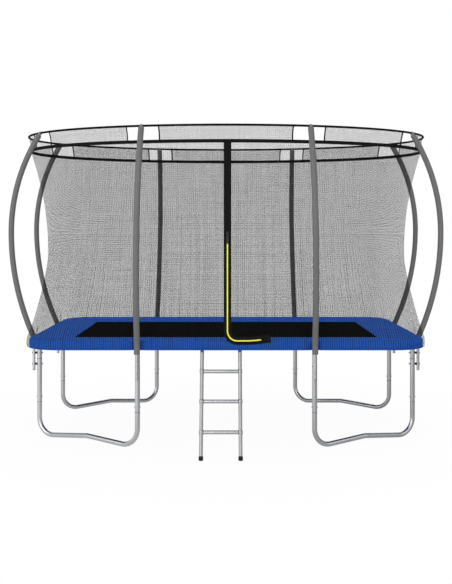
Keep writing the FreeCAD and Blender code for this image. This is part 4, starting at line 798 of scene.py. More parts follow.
class TRAMPOLINE_OT_fixings(Build):
    """Bolts, nuts, spacer blocks and end plugs that hold the poles to the legs"""

    bl_idname = "trampoline.fixings"
    bl_label = "Pole Fixings"

    def make(self, values):
        bolts, blocks, plugs = Shape(), Shape(), Shape()
        reach = POLE_OUT + POLE_RADIUS
        head = [(0.0, 0.0), (0.0082, 0.0), (0.0085, 0.0006), (0.0080, 0.0018), (0.0062, 0.0034), (0.0030, 0.0047),
                (0.0, 0.0050)]
        washer = [(0.0, 0.0), (0.0090, 0.0), (0.0090, 0.0014), (0.0060, 0.0016)]
        nut = [(0.0, 0.0), (0.0070, 0.0), (0.0075, 0.0008), (0.0075, 0.0052), (0.0070, 0.0060), (0.0, 0.0060)]
        stem = [(0.0030, 0.0), (0.0030, 0.0110), (0.0024, 0.0118), (0.0, 0.0120)]
        plug = [(0.0, 0.0), (0.0100, 0.0), (0.0121, 0.0008), (0.0125, 0.0022), (0.0125, 0.0034), (0.0104, 0.0035),
                (0.0102, 0.0200)]
        for _, x, y, turn in LEGS:
            for height in BOLT_HEIGHTS:
                outward = leg_place(x, y, turn, height) @ QUARTER_TURN
                bolts.lathe(head, 24, outward @ Matrix.Translation((0, 0, reach - 0.0003)))
                bolts.block((0.004, 0.004, (reach - TUBE_RADIUS) / 2),
                            outward @ Matrix.Translation((0, 0, (reach + TUBE_RADIUS) / 2)))
                inward = leg_place(x, y, turn + 180, height) @ QUARTER_TURN
                inward = inward @ Matrix.Translation((0, 0, TUBE_RADIUS - 0.0003))
                bolts.lathe(washer, 24, inward)
                bolts.lathe(nut, 6, inward @ Matrix.Translation((0, 0, 0.0012)))
                bolts.lathe(stem, 12, inward)
                self.spacer(blocks, leg_place(x, y, turn, height))
            foot = leg_place(x, y, turn, POLE_FOOT - 0.0034) @ Matrix.Translation((POLE_OUT, 0, 0))
            plugs.lathe(plug, 24, foot)
        piece = bolts.piece("pole_bolts_and_nuts", finish("zinc"), "zinc_fixings", crease=30)
        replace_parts(piece, "pole_bolts")
        piece = blocks.piece("pole_spacer_blocks", finish("plastic"), "black_plastic", crease=30)
        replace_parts(piece, "pole_spacers")
        plugs.piece("pole_end_plugs", finish("plastic"), "black_plastic", crease=30)

    def spacer(self, blocks, place):
        """A saddle block: hollowed to both tubes, with two ribs on each side."""
        half, play = 0.009, 0.0003
        rows = []
        for height, trim in ((-half, 0.0010), (-0.0075, 0.0), (0.0075, 0.0), (half, 0.0010)):
            sides = [-half + trim + (2 * half - 2 * trim) * k / 6 for k in range(7)]
            row = [(math.sqrt(TUBE_RADIUS ** 2 - y ** 2) + play, y, height) for y in sides]
            row += [(POLE_OUT - math.sqrt(POLE_RADIUS ** 2 - y ** 2) - play, y, height) for y in reversed(sides)]
            rows.append(row)
        blocks.skin(rows, across=True, lids=True, place=place)
        for side in (-1, 1):
            for height in (-0.0045, 0.0045):
                rib = place @ Matrix.Translation(((TUBE_RADIUS + POLE_OUT - POLE_RADIUS) / 2, side * 0.0092, height))
                blocks.block((0.0062, 0.0009, 0.0011), rib)


# Net poles
def pole_target(turn):
    """Where the ring passes a pole: outwards from its foot, and along the side."""
    ends = turn in (0, 180)
    spot = oval(RING, RING_TURN["end" if ends else "side"])
    if ends:
        return spot.x - HALF_LENGTH - POLE_OUT, END_LEG - (spot.y - SET_BACK)
    return spot.y - SET_BACK - HALF_WIDTH - POLE_OUT, SIDE_LEG - spot.x


def pole_matrix(x, y, turn):
    """The leaning pole's own axes, at the height of its pivot."""
    heading = math.radians(turn)
    lean = math.atan2(pole_target(turn)[1], RING[2] - SLEEVE_PIVOT)
    lean *= math.copysign(1, -math.sin(heading) * x + math.cos(heading) * y)
    place = Matrix.Translation((x + POLE_OUT * math.cos(heading), y + POLE_OUT * math.sin(heading) + SET_BACK,
                                SLEEVE_PIVOT))
    return place @ Matrix.Rotation(heading, 4, "Z") @ Matrix.Rotation(lean, 4, "X")


def pole_arcs(reach):
    """Radii and turns of a bowed pole's arcs, from the kick above its foot to the ring."""
    low_drop = BULGE_HEIGHT - KICK_HEIGHT
    low_radius = (low_drop ** 2 + BULGE_REACH ** 2) / (2 * BULGE_REACH)
    rise, fall = RING[2] - BULGE_HEIGHT, BULGE_REACH - reach
    high_radius = (rise ** 2 + fall ** 2) / (2 * fall)
    apart = low_radius + POLE_BEND
    across = POLE_BEND - (BULGE_REACH - low_radius)
    bend_level = BULGE_HEIGHT - math.sqrt(apart ** 2 - across ** 2)
    bend_turn = math.acos(across / apart)
    high_turn = math.asin(rise / high_radius) - CAP_SEAT / high_radius
    return low_radius, high_radius, bend_level, bend_turn, high_turn


def pole_line(reach):
    """Points of a bowed pole from its foot to its cap, outwards and up from the pivot."""
    low_radius, high_radius, bend_level, bend_turn, high_turn = pole_arcs(reach)
    points = [(0.0, SLEEVE_FOOT + share * (bend_level - SLEEVE_FOOT)) for share in (0, 0.02, 0.3, 0.6)]

    def arc(centre_out, centre_up, radius, first, last, count):
        for k in range(count):
            angle = first + (last - first) * k / count
            points.append((centre_out + radius * math.cos(angle), centre_up + radius * math.sin(angle)))

    arc(POLE_BEND, bend_level, POLE_BEND, math.pi, math.pi - bend_turn, 7)
    arc(BULGE_REACH - low_radius, BULGE_HEIGHT, low_radius, -bend_turn, 0.0, 26)
    arc(BULGE_REACH - high_radius, BULGE_HEIGHT, high_radius, 0.0, high_turn, 30)
    points.append((BULGE_REACH - high_radius + high_radius * math.cos(high_turn),
                   BULGE_HEIGHT + high_radius * math.sin(high_turn)))
    return [Vector((out, 0, up - SLEEVE_PIVOT)) for out, up in points]


class TRAMPOLINE_OT_foam_sleeves(Build):
    """Bowed foam sleeves over the net poles, and the caps on top"""

    bl_idname = "trampoline.foam_sleeves"
    bl_label = "Foam Sleeves"

    def make(self, values):
        for number, (name, x, y, turn) in enumerate(LEGS):
            path = pole_line(pole_target(turn)[0])
            place = pole_matrix(x, y, turn)

            def radius(i, angle):
                seam = 0.0007 * math.exp(-(((angle - math.pi / 2) / 0.10) ** 2))
                soft = 0.0005 * ripple(i * 0.55 + number * 7.3, math.cos(angle), math.sin(angle))
                tight = 0.0022 if i == 0 else 0.0
                return values.foam_radius + seam + soft - tight

            sleeve = Shape()
            sleeve.tube(path, radius, 36, up=Vector((0, 1, 0)), lids=False, place=place)
            inside = [(values.foam_radius - 0.0022, 0.0), (0.0142, 0.0006), (0.0138, 0.030)]
            foot = place @ Matrix.Translation(path[0])
            rows = [[(cx, cy, height) for cx, cy in circle(r, 36)] for r, height in inside]
            sleeve.skin(rows, across=True, place=foot)
            piece = sleeve.piece("foam_sleeve_" + name, finish("foam"), "grey_foam", crease=60)
            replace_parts(piece, "sleeve_" + name)
        dress("cap", "pole_caps")


# Ring, band and net
def ring_turns():
    side, end = RING_TURN["side"], RING_TURN["end"]
    return [end, side, 180 - side, 180 - end, 180 + end, 180 + side, 360 - side, 360 - end]


def turn_width(turn, width):
    """The turn in degrees that a width along the ring takes at this place."""
    return width / (oval(RING, turn + 0.5) - oval(RING, turn - 0.5)).length


class TRAMPOLINE_OT_ring_and_band(Build):
    """The upper ring in its cloth tunnel and the webbing band below it"""

    bl_idname = "trampoline.ring_and_band"
    bl_label = "Ring and Band"

    def make(self, values):
        count = 480
        tunnel = Shape()
        path = [oval(RING, 360 * k / count) for k in range(count)]
        tunnel.tube(path, lambda i, a: TUNNEL_RADIUS + 0.0004 * ripple(i * 0.9, math.cos(a) * 2, math.sin(a) * 2),
                    12, loop=True)
        piece = tunnel.piece("ring_tunnel", finish("webbing"), "black_webbing", crease=80)
        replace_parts(piece, "upper_ring")
        band = Shape()
        path = [oval(BAND, 360 * k / count) for k in range(count)]
        band.ribbon(path, BAND_DEPTH / 2, 0.0014, loop=True)
        for edge in (-1, 1):
            line = [oval(BAND, 360 * k / count, 0.0015, BAND[2] + edge * 0.0100) for k in range(count)]
            band.tube(line, 0.0005, 5, loop=True)
        piece = band.piece("net_band_webbing", finish("webbing"), "black_webbing", crease=50)
        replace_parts(piece, "net_band")


def quarter_run(half, corner):
    """Length of a quarter of a rounded rectangle's outline."""
    return half[0] - corner + math.pi / 2 * corner + half[1] - corner


def quarter_point(half, corner, run):
    """Place and outward direction at a run from the middle of the back to the middle of the right end."""
    start = half[0] - corner
    end = start + math.pi / 2 * corner
    if run <= start:
        return run, half[1], 0.0, 1.0
    if run >= end:
        return half[0], half[1] - corner - (run - end), 1.0, 0.0
    angle = math.pi / 2 - (run - start) / corner
    cosine, sine = math.cos(angle), math.sin(angle)
    return start + corner * cosine, half[1] - corner + corner * sine, cosine, sine


def net_quarter():
    """Runs, lower points, outward directions and ring turns in the back right quarter."""
    whole = quarter_run(NET_HALF, NET_CORNER)
    knots = [(0, 90), (SIDE_LEG, RING_TURN["side"]), (whole - END_LEG, RING_TURN["end"]), (whole, 0)]
    runs = [whole * k / 60 for k in range(61)]
    runs += [knots[j][0] + step * 0.011 for j in (1, 2) for step in range(-5, 6)]
    quarter = []
    for run in sorted(runs):
        if quarter and run - quarter[-1][0] < 0.004:
            continue
        for (low, low_turn), (high, high_turn) in zip(knots, knots[1:]):
            if low - 1e-9 <= run <= high + 1e-9:
                turn = low_turn + (high_turn - low_turn) * (run - low) / (high - low)
        quarter.append((run, *quarter_point(NET_HALF, NET_CORNER, run), turn))
    return quarter


def net_columns():
    """All columns of the net's wall, once round: lower point, outward direction, ring point."""
    quarter = net_quarter()
    columns = []
    for sx, sy in ((1, 1), (1, -1), (-1, -1), (-1, 1)):
        part = quarter if sx == sy else quarter[::-1]
        for _, x, y, out_x, out_y, turn in part[:-1]:
            angle = math.radians(turn)
            top = Vector((sx * (BAND[0] + 0.001) * math.cos(angle), sy * (BAND[1] + 0.001) * math.sin(angle), NET_TOP))
            outward = Vector((top.x / BAND[0] ** 2, top.y / BAND[1] ** 2, 0)).normalized()
            columns.append((Vector((sx * x, sy * y, 0)), Vector((sx * out_x, sy * out_y, 0)), top, outward))
    return columns


def pole_dent(x, y, depth):
    """How far a pole's foot presses the skirt or the net in, at a place on the outline."""
    press = 0.0
    for _, leg_x, leg_y, turn in LEGS:
        if turn in (90, 270) and y * leg_y > 0 and abs(abs(y) - HALF_WIDTH) < 0.1:
            press = max(press, math.exp(-((x - leg_x) / DENT_WIDTH) ** 2))
        if turn in (0, 180) and x * leg_x > 0 and abs(abs(x) - HALF_LENGTH) < 0.1:
            press = max(press, math.exp(-((y - leg_y) / DENT_WIDTH) ** 2))
    return depth * press


def net_column(low, out, top, outward, levels):
    """Points up one column of the net: over the pad's skirt, then one long arc to the band."""
    bend = Vector((low.x, low.y, NET_TURN))
    points = []
    loose = NET_SLACK[low.x > 0] * smooth_step(NET_HALF[0] - NET_CORNER, NET_HALF[0], abs(low.x))
    for z, share in NET_SKIRT:
        press = pole_dent(low.x, low.y, NET_DENT + loose * share)
        points.append(Vector((low.x, low.y, z)) + out * (loose * share - press))
    for k in range(levels + 1):
        share = k / levels
        point = bend.lerp(top, share) - outward * (NET_WAIST * 4 * share * (1 - share))
        fade = 1 - smooth_step(0.90, 1.06, point.z)
        slack = loose * 0.7 * (1 - smooth_step(0.0, 0.09, share))
        point += out * (slack - pole_dent(low.x, low.y, NET_DENT + slack) * fade)
        doorway = smooth_step(0.45, 0.70, abs(point.x - 0.12)) if low.y < 0 and abs(low.y) > 0.8 else 1.0
        soft = ripple(low.x * 5.5, low.y * 5.5, point.z * 1.3) + 0.5 * ripple(low.x * 16, low.y * 16, point.z * 2.2)
        point -= outward * (NET_WAVE * doorway * (soft + 0.8) * 4 * share * (1 - share))
        points.append(point)
    return [point + Vector((0, SET_BACK, 0)) for point in points]


class TRAMPOLINE_OT_net(Build):
    """The net's wall, its collar below the ring, the hem and the window binding"""

    bl_idname = "trampoline.net"
    bl_label = "Safety Net"

    def make(self, values):
        columns = [net_column(*column, 44) for column in net_columns()]
        wall = Shape()
        rows = [[column[k] for column in columns] for k in range(len(columns[0]))]
        wall.skin(rows, across=True)
        piece = wall.piece("net_wall_mesh", finish("net"), "black_net", crease=180)
        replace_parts(piece, "net_wall")
        hem = Shape()
        lower = [column[0] + Vector((0, 0, 0.002)) for column in columns]
        hem.ribbon(lower, 0.0022, 0.0009, loop=True)
        hem_piece = hem.piece("net_hem", finish("hem"), "black_net", crease=60)
        self.collar(values)

    def window_reach(self, number, side):
        """How far the open window goes from pole number, counted from the right back end, to one side of it."""
        kind = ("end", "back", "back", "end", "end", "front", "front", "end")[number]
        outer, inner = WINDOW_REACH[kind]
        towards_middle = side if number in (1, 5) else -side
        return inner if towards_middle > 0 else outer

    def collar(self, values):
        panels, binding = Shape(), Shape()
        turns = ring_turns()
        low_z, high_z = BAND[2] + BAND_DEPTH / 2 - 0.002, RING[2] - 0.005
        for i, start in enumerate(turns):
            end = turns[(i + 1) % 8] + (360 if i == 7 else 0)
            first = start + turn_width(start, self.window_reach(i, 1))
            last = end - turn_width(end, self.window_reach((i + 1) % 8, -1))
            steps = max(6, round((last - first) / 1.2))
            rows = []
            for level in range(5):
                share = level / 4
                row = []
                for k in range(steps + 1):
                    turn = first + (last - first) * k / steps
                    point = oval(BAND, turn, height=low_z).lerp(oval(RING, turn, height=high_z), share)
                    inward = Vector((point.x, point.y - SET_BACK, 0)).normalized()
                    sag = 0.003 * math.sin(math.pi * share) * (1 + ripple(turn * 0.35, 3.0, share))
                    row.append(point - inward * sag)
                rows.append(row)
            panels.skin(rows)
            for column in ([row[0] for row in rows], [row[-1] for row in rows]):
                binding.ribbon(column, 0.0060, 0.0016, up=(rows[0][1] - rows[0][0]).normalized())
            for turn in (first, last):
                ends = [oval(RING, turn + side * turn_width(turn, 0.0065)) for side in (-1, -0.9, 0.9, 1)]
                binding.tube(ends, lambda i, a: 0.0088 if i in (0, 3) else 0.0098, 16)
        panels.cloth = [(u, v + NET_TOP) for u, v in panels.cloth]
        piece = panels.piece("net_collar_mesh", finish("net"), "black_net", crease=180)
        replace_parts(piece, "net_collar")
        trim = binding.piece("window_binding", finish("webbing"), "black_webbing", crease=50)
        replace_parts(trim, "window_edging")


# Doorway
def front_net(z):
    """Y of the front net's face at a height, and the lean of the face there."""
    face = -NET_HALF[1]
    if z <= NET_TURN:
        return face + SET_BACK
    share = (z - NET_TURN) / (NET_TOP - NET_TURN)
    return face + (-BAND[1] - 0.001 - face) * share + NET_WAIST * 4 * share * (1 - share) + SET_BACK


def zip_line(step=0.012, tail=0.0):
    """The zip's middle line seen from the front, as (x, z), from the band down and round to the right."""
    near = (ZIP_SHIFT + ZIP_BEND, ZIP_LEVEL + ZIP_BEND)
    far = (near[0] + ZIP_FLAT, ZIP_LEVEL + ZIP_SWEEP)
    points = []
    run = NET_TOP - near[1]
    count = round(run / step)
    points += [(ZIP_SHIFT, NET_TOP - run * k / count) for k in range(count)]
    for k in range(14):
        angle = math.pi + math.pi / 2 * k / 14
        points.append((near[0] + ZIP_BEND * math.cos(angle), near[1] + ZIP_BEND * math.sin(angle)))
    points += [(near[0] + ZIP_FLAT * k / 4, ZIP_LEVEL) for k in range(4)]
    rise = math.radians(ZIP_END_TURN)
    for k in range(13):
        angle = -math.pi / 2 + rise * k / 12
        points.append((far[0] + ZIP_SWEEP * math.cos(angle), far[1] + ZIP_SWEEP * math.sin(angle)))
    if tail:
        last = points[-1]
        points += [(last[0] + tail * k / 8 * math.cos(rise), last[1] + tail * k / 8 * math.sin(rise))
                   for k in range(1, 9)]
    return points


def on_net(x, z, lift):
    return Vector((x, front_net(z) - lift, z))


def flat_strip(line, offsets, lifts):
    """Rows of points along a line in the door's plane, laid on the net's face."""
    rows = []
    for i, (x, z) in enumerate(line):
        before, after = line[max(i - 1, 0)], line[min(i + 1, len(line) - 1)]
        along = Vector((after[0] - before[0], after[1] - before[1])).normalized()
        rows.append([on_net(x - along.y * offset, z + along.x * offset, lift) for offset, lift in zip(offsets, lifts)])
    return rows


class TRAMPOLINE_OT_doorway(Build):
    """The zip doorway: black tape, yellow teeth, the slider and its pull"""

    bl_idname = "trampoline.doorway"
    bl_label = "Zip Doorway"

    def make(self, values):
        tape = Shape()
        half = 0.0313
        offsets = [-half, -half, -half + 0.003, -0.010, 0.0, 0.010, half - 0.003, half, half, half - 0.002, 0.0,
                   -half + 0.002]
        lifts = [0.0006, 0.0012, 0.0019, 0.0016, 0.0014, 0.0016, 0.0019, 0.0012, 0.0006, 0.0002, 0.0002, 0.0002]
        rows = flat_strip(zip_line(), offsets, lifts)
        tape.skin(rows, across=True, lids=True)
        line = zip_line(tail=0.080)[-10:]
        wide = 0.0322
        offsets = [-wide, -wide, -wide + 0.004, 0.0, wide - 0.004, wide, wide, 0.0]
        lifts = [0.0008, 0.0020, 0.0034, 0.0028, 0.0034, 0.0020, 0.0008, 0.0006]
        tape.skin(flat_strip(line, offsets, lifts), across=True, lids=True)
        piece = tape.piece("zip_tape_cloth", finish("zip_cloth"), "zip_tape_cloth", crease=60)
        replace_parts(piece, "zip_tape")
        self.teeth(values)
        dress("painted", "zip_slider", "zip_pull")

    def teeth(self, values):
        chain = Shape()
        line = [(x, z) for x, z in zip_line(0.006) if z <= ZIP_TOP]
        offsets = [-0.0054, -0.0051, 0.0, 0.0051, 0.0054, 0.0]
        lifts = [0.0014, 0.0022, 0.0024, 0.0022, 0.0014, 0.0012]
        chain.skin(flat_strip(line, offsets, lifts), across=True, lids=True)
        run, side = 0.0, 1
        for (x0, z0), (x1, z1) in zip(line, line[1:]):
            length = math.hypot(x1 - x0, z1 - z0)
            while run < length:
                share = run / length
                x, z = x0 + (x1 - x0) * share, z0 + (z1 - z0) * share
                along = Vector(((x1 - x0) / length, 0, (z1 - z0) / length))
                across = Vector((-along.z, 0, along.x))
                normal = along.cross(across)
                middle = on_net(x, z, 0.0026) + across * (side * 0.0016)
                place = Matrix((across, along, normal)).transposed().to_4x4()
                place.translation = middle
                chain.block((0.0030, 0.0019, 0.0009), place, 0.4)
                side = -side
                run += values.tooth_pitch / 2
            run -= length
        piece = chain.piece("zip_chain", finish("zip"), "yellow_zip", crease=50)
        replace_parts(piece, "zip_teeth")


# Safety pad
def pad_outline(run):
    """Point and outward direction on the pad's rounded outline, for a run from the middle of the back."""
    quarter = quarter_run(PAD_HALF, PAD_CORNER)
    lap = run % (4 * quarter)
    index = int(lap // quarter)
    rest = lap - index * quarter
    x, y, out_x, out_y = quarter_point(PAD_HALF, PAD_CORNER, quarter - rest if index % 2 else rest)
    sx, sy = ((1, 1), (1, -1), (-1, -1), (-1, 1))[index]
    return Vector((sx * x, sy * y, 0)), Vector((sx * out_x, sy * out_y, 0))


def pad_mitre_run():
    """Where the corner's mitre line meets the outline, as a run from the middle of the back."""
    dx, dy = PAD_HALF[0] - PAD_OPENING[0], PAD_HALF[1] - PAD_OPENING[1]
    best, run = 1e9, 0.0
    for k in range(400):
        here = PAD_HALF[0] - PAD_CORNER + math.pi / 2 * PAD_CORNER * k / 399
        point = pad_outline(here)[0]
        off = abs((point.x - PAD_OPENING[0]) * dy - (point.y - PAD_OPENING[1]) * dx)
        if off < best:
            best, run = off, here
    return run


def pad_crown(share):
    """Height of the pad's top on the way from the opening to the rolled edge."""
    return PAD_EDGE + (PAD_CROWN - PAD_EDGE) * math.sin(math.pi / 2 * min(1.0, share / 0.53))


class TRAMPOLINE_OT_pad(Build):
    """The blue safety pad: four crowned sections with a rolled skirt, mitred at the corners"""

    bl_idname = "trampoline.pad"
    bl_label = "Safety Pad"

    def make(self, values):
        quarter = quarter_run(PAD_HALF, PAD_CORNER)
        mitre = pad_mitre_run()
        corners = [(sx * PAD_OPENING[0], sy * PAD_OPENING[1]) for sx, sy in ((1, 1), (1, -1), (-1, -1), (-1, 1))]
        bounds = [mitre, 2 * quarter - mitre, 2 * quarter + mitre, 4 * quarter - mitre, 4 * quarter + mitre]
        pieces = []
        for number, name in enumerate(("right", "front", "left", "back")):
            start, end = bounds[number], bounds[number + 1]
            first = Vector((*corners[number], 0))
            last = Vector((*corners[(number + 1) % 4], 0))
            pieces.append(self.section(values, name, start, end, first, last))
        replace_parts(pieces[0], "safety_pad")
        self.seams(values, bounds, corners)

    def shares(self, start, end):
        """Places along a section, closer together where a pole's foot presses the skirt in."""
        count = round((end - start) / 0.028)
        runs = [start + (end - start) * k / count for k in range(count + 1)]
        for _, x, y, _ in LEGS:
            for k in range(count * 4 + 1):
                run = start + (end - start) * k / (count * 4)
                point = pad_outline(run)[0]
                if math.hypot(point.x - x, point.y - y) < 0.085:
                    runs.append(run)
        runs.sort()
        kept = [runs[0]]
        for run in runs[1:-1]:
            if run - kept[-1] > 0.006 and end - run > 0.006:
                kept.append(run)
        return [(run - start) / (end - start) for run in kept + [end]]

    def section(self, values, name, start, end, first, last):
        rows = []
        for share in self.shares(start, end):
            run = start + (end - start) * share
            inner = first.lerp(last, share)
            edge, outward = pad_outline(run)
            near_end = min(share, 1 - share) * (end - start)
            ends = smooth_step(0.0, 0.10, near_end)
            rows.append(self.profile(values, inner, edge, outward, ends, run, near_end))
        skin = Shape()
        skin.skin(rows, across=True, lids=True)
        piece = skin.piece("pad_" + name, finish("pad"), "blue_vinyl", crease=55)
        return piece

    def profile(self, values, inner, edge, outward, ends, run, near_end):
        """One cross-section, from the opening's edge over the foam and down the skirt, and back under."""
        dent = pole_dent(edge.x, edge.y, PAD_DENT)
        rim = edge - outward * PAD_ROLL
        points = []

        def put(spot, height):
            points.append(Vector((spot.x, spot.y + SET_BACK, height)))

        put(inner + (rim - inner) * 0.060, PAD_UNDER)
        put(inner, PAD_UNDER + 0.0030)
        put(inner - (rim - inner).normalized() * 0.0010, PAD_UNDER + 0.0045)
        put(inner, PAD_EDGE - 0.0012)
        steps = 16
        for k in range(steps + 1):
            share = 0.012 + (1 - 0.012) * k / steps
            spot = inner.lerp(rim, share)
            crown = pad_crown(share)
            puff = values.pad_puff * math.sin(math.pi * min(1.0, share * 0.96)) * ends
            pucker = 0.0012 * math.exp(-share / 0.09) * math.sin(run * 150)
            pucker += 0.0010 * math.exp(-near_end / 0.03) * math.sin(share * 55)
            fold = 0.0016 * ripple(spot.x * 6.5, spot.y * 6.5, 1.7) + 0.0009 * ripple(spot.x * 17, spot.y * 17, 5.1)
            valley = 0.0045 * (1 - smooth_step(0.0, 0.012, near_end))
            put(spot, crown + puff + pucker + fold * min(1.0, share * 5) * ends - valley)
        for k in range(1, 9):
            angle = math.pi / 2 * k / 8
            spot = rim + outward * (PAD_ROLL * math.sin(angle))
            press = dent * math.sin(angle)
            fold = 0.0016 * ripple(spot.x * 6.5, spot.y * 6.5, 1.7)
            put(spot - outward * press, PAD_CROWN - PAD_ROLL * (1 - math.cos(angle)) + fold)
        for share in (0.25, 0.5, 0.75, 0.93, 1.0):
            height = PAD_CROWN - PAD_ROLL + (PAD_FOOT - PAD_CROWN + PAD_ROLL) * share
            flare = 0.0022 * share * (ripple(edge.x * 7, edge.y * 7, 9.0) - 0.25)
            hem = 0.0012 if 0.9 < share < 0.97 else 0.0
            put(edge + outward * (flare + hem - dent), height)
        for share in (1.0, 0.5, 0.0):
            height = PAD_UNDER + (PAD_FOOT - PAD_UNDER) * share
            put(edge - outward * (0.0068 + dent * 0.62), height + 0.0006)
        put(edge - outward * 0.030, PAD_UNDER)
        put(inner.lerp(rim, 0.5), PAD_UNDER)
        return points

    def seams(self, values, bounds, corners):
        """Piping along the opening and over the mitres, down to the foot of the skirt."""
        piping = Shape()
        count = 80
        loop = []
        for number in range(4):
            a, b = Vector((*corners[number], 0)), Vector((*corners[(number + 1) % 4], 0))
            inset = 0.012
            ahead = (b - a).normalized()
            loop += [(a + ahead * inset).lerp(b - ahead * inset, k / count) for k in range(count + 1)]
        middle = Vector((0, 0, 0))
        path = [Vector((p.x, p.y + SET_BACK, PAD_EDGE - 0.0024)) + (middle - p).normalized() * 0.0008 for p in loop]
        piping.tube(path, 0.0021, 8, loop=True)
        for number in range(4):
            corner = Vector((*corners[number], 0))
            edge, outward = pad_outline(bounds[number])
            rim = edge - outward * PAD_ROLL
            line = []
            for k in range(25):
                share = k / 24
                spot = corner.lerp(rim, share)
                crown = pad_crown(share)
                line.append(Vector((spot.x, spot.y + SET_BACK, crown - 0.0042)))
            for k in range(1, 9):
                angle = math.pi / 2 * k / 8
                spot = rim + outward * ((PAD_ROLL - 0.0006) * math.sin(angle))
                line.append(Vector((spot.x, spot.y + SET_BACK,
                                    PAD_CROWN - 0.0012 - PAD_ROLL * (1 - math.cos(angle)))))
            spot = edge - outward * 0.0006
            line.append(Vector((spot.x, spot.y + SET_BACK, PAD_FOOT + 0.002)))
            piping.tube(line, 0.0022, 8)
        piping.piece("pad_piping", finish("pad"), "blue_vinyl", crease=70)


# Mat and springs
class TRAMPOLINE_OT_mat(Build):
    """The woven jumping mat, its sewn hem and the rings for its springs"""

    bl_idname = "trampoline.mat"
    bl_label = "Jumping Mat"

    def make(self, values):
        half_x, half_y = MAT_HALF

        def outline(grow, height):
            points = []
            radius = MAT_CORNER + grow
            for sx, sy, first in ((1, 1, 0), (-1, 1, 90), (-1, -1, 180), (1, -1, 270)):
                centre = (sx * (half_x - MAT_CORNER), sy * (half_y - MAT_CORNER))
                for k in range(9):
                    angle = math.radians(first + 90 * k / 8)
                    points.append(Vector((centre[0] + radius * math.cos(angle),
                                          centre[1] + radius * math.sin(angle) + SET_BACK, height)))
            return points

        cloth = Shape()
        columns, lines = 57, 33
        for top in (True, False):
            rows = []
            for i in range(lines):
                row = []
                for j in range(columns):
                    x = (half_x - 0.002) * (2 * j / (columns - 1) - 1)
                    y = (half_y - 0.002) * (2 * i / (lines - 1) - 1)
                    inner_x, inner_y = half_x - MAT_CORNER, half_y - MAT_CORNER
                    dx, dy = max(0.0, abs(x) - inner_x), max(0.0, abs(y) - inner_y)
                    if dx and dy:
                        reach = max(dx, dy)
                        length = math.hypot(dx, dy)
                        x = math.copysign(inner_x + dx / length * reach, x)
                        y = math.copysign(inner_y + dy / length * reach, y)
                    hang = 0.0025 * math.cos(math.pi * x / (2 * half_x)) * math.cos(math.pi * y / (2 * half_y))
                    height = MAT_TOP - 0.0006 - hang + 0.0004 * ripple(x * 3, y * 3)
                    row.append(Vector((x, y + SET_BACK, height if top else height - 0.0022)))
                rows.append(row if top else row[::-1])
            cloth.skin(rows)
        piece = cloth.piece("mat_cloth", finish("mat"), "black_mat_cloth", crease=60)
        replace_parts(piece, "jumping_mat")
        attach(piece, "mat")
        hem = Shape()
        fold = [(-0.048, -0.0004), (-0.046, 0.0004), (-0.002, 0.0004), (0.0, -0.001), (0.0, -0.005), (-0.002, -0.006),
                (-0.046, -0.006), (-0.048, -0.005)]
        hem.skin([outline(grow, MAT_TOP + lift) for grow, lift in fold], across=True, along=True)
        for inset in (-0.008, -0.024, -0.041):
            for height in (MAT_TOP + 0.0004, MAT_TOP - 0.006):
                hem.tube(outline(inset, height), 0.0006, 5, loop=True)
        hem.piece("mat_hem", finish("webbing"), "black_webbing", body="mat", crease=50)
        rings = Shape()
        for x, y, out_x, out_y in spring_places():
            self.ring(rings, x, y, out_x, out_y)
        rings.piece("mat_rings", finish("zinc"), "zinc_spring_wire", body="mat", crease=60)

    def ring(self, rings, x, y, out_x, out_y):
        """A three-cornered wire ring held in the hem, its point towards the spring."""
        corners = ((0.004, 0.0), (-0.001, 0.004), (-0.020, 0.013), (-0.024, 0.012), (-0.0255, 0.008),
                   (-0.0255, -0.008), (-0.024, -0.012), (-0.020, -0.013), (-0.001, -0.004))
        path = [Vector((x + out_x * ax - out_y * ay, y + out_y * ax + out_x * ay + SET_BACK, SPRING_HEIGHT + 0.002))
                for ax, ay in corners]
        rings.tube(path, 0.0017, 6, loop=True)


def spring_places():
    """The mat's edge at each spring, and the direction out to the frame."""
    places = []
    for axis, count in ((0, SPRING_COUNTS[0]), (1, SPRING_COUNTS[1])):
        half_run = MAT_HALF[axis] - SPRING_MARGIN
        for sign in (-1, 1):
            for i in range(count):
                along = half_run * (2 * i / (count - 1) - 1)
                if axis == 0:
                    places.append((along, sign * MAT_HALF[1], 0, sign))
                else:
                    places.append((sign * MAT_HALF[0], along, sign, 0))
    return places


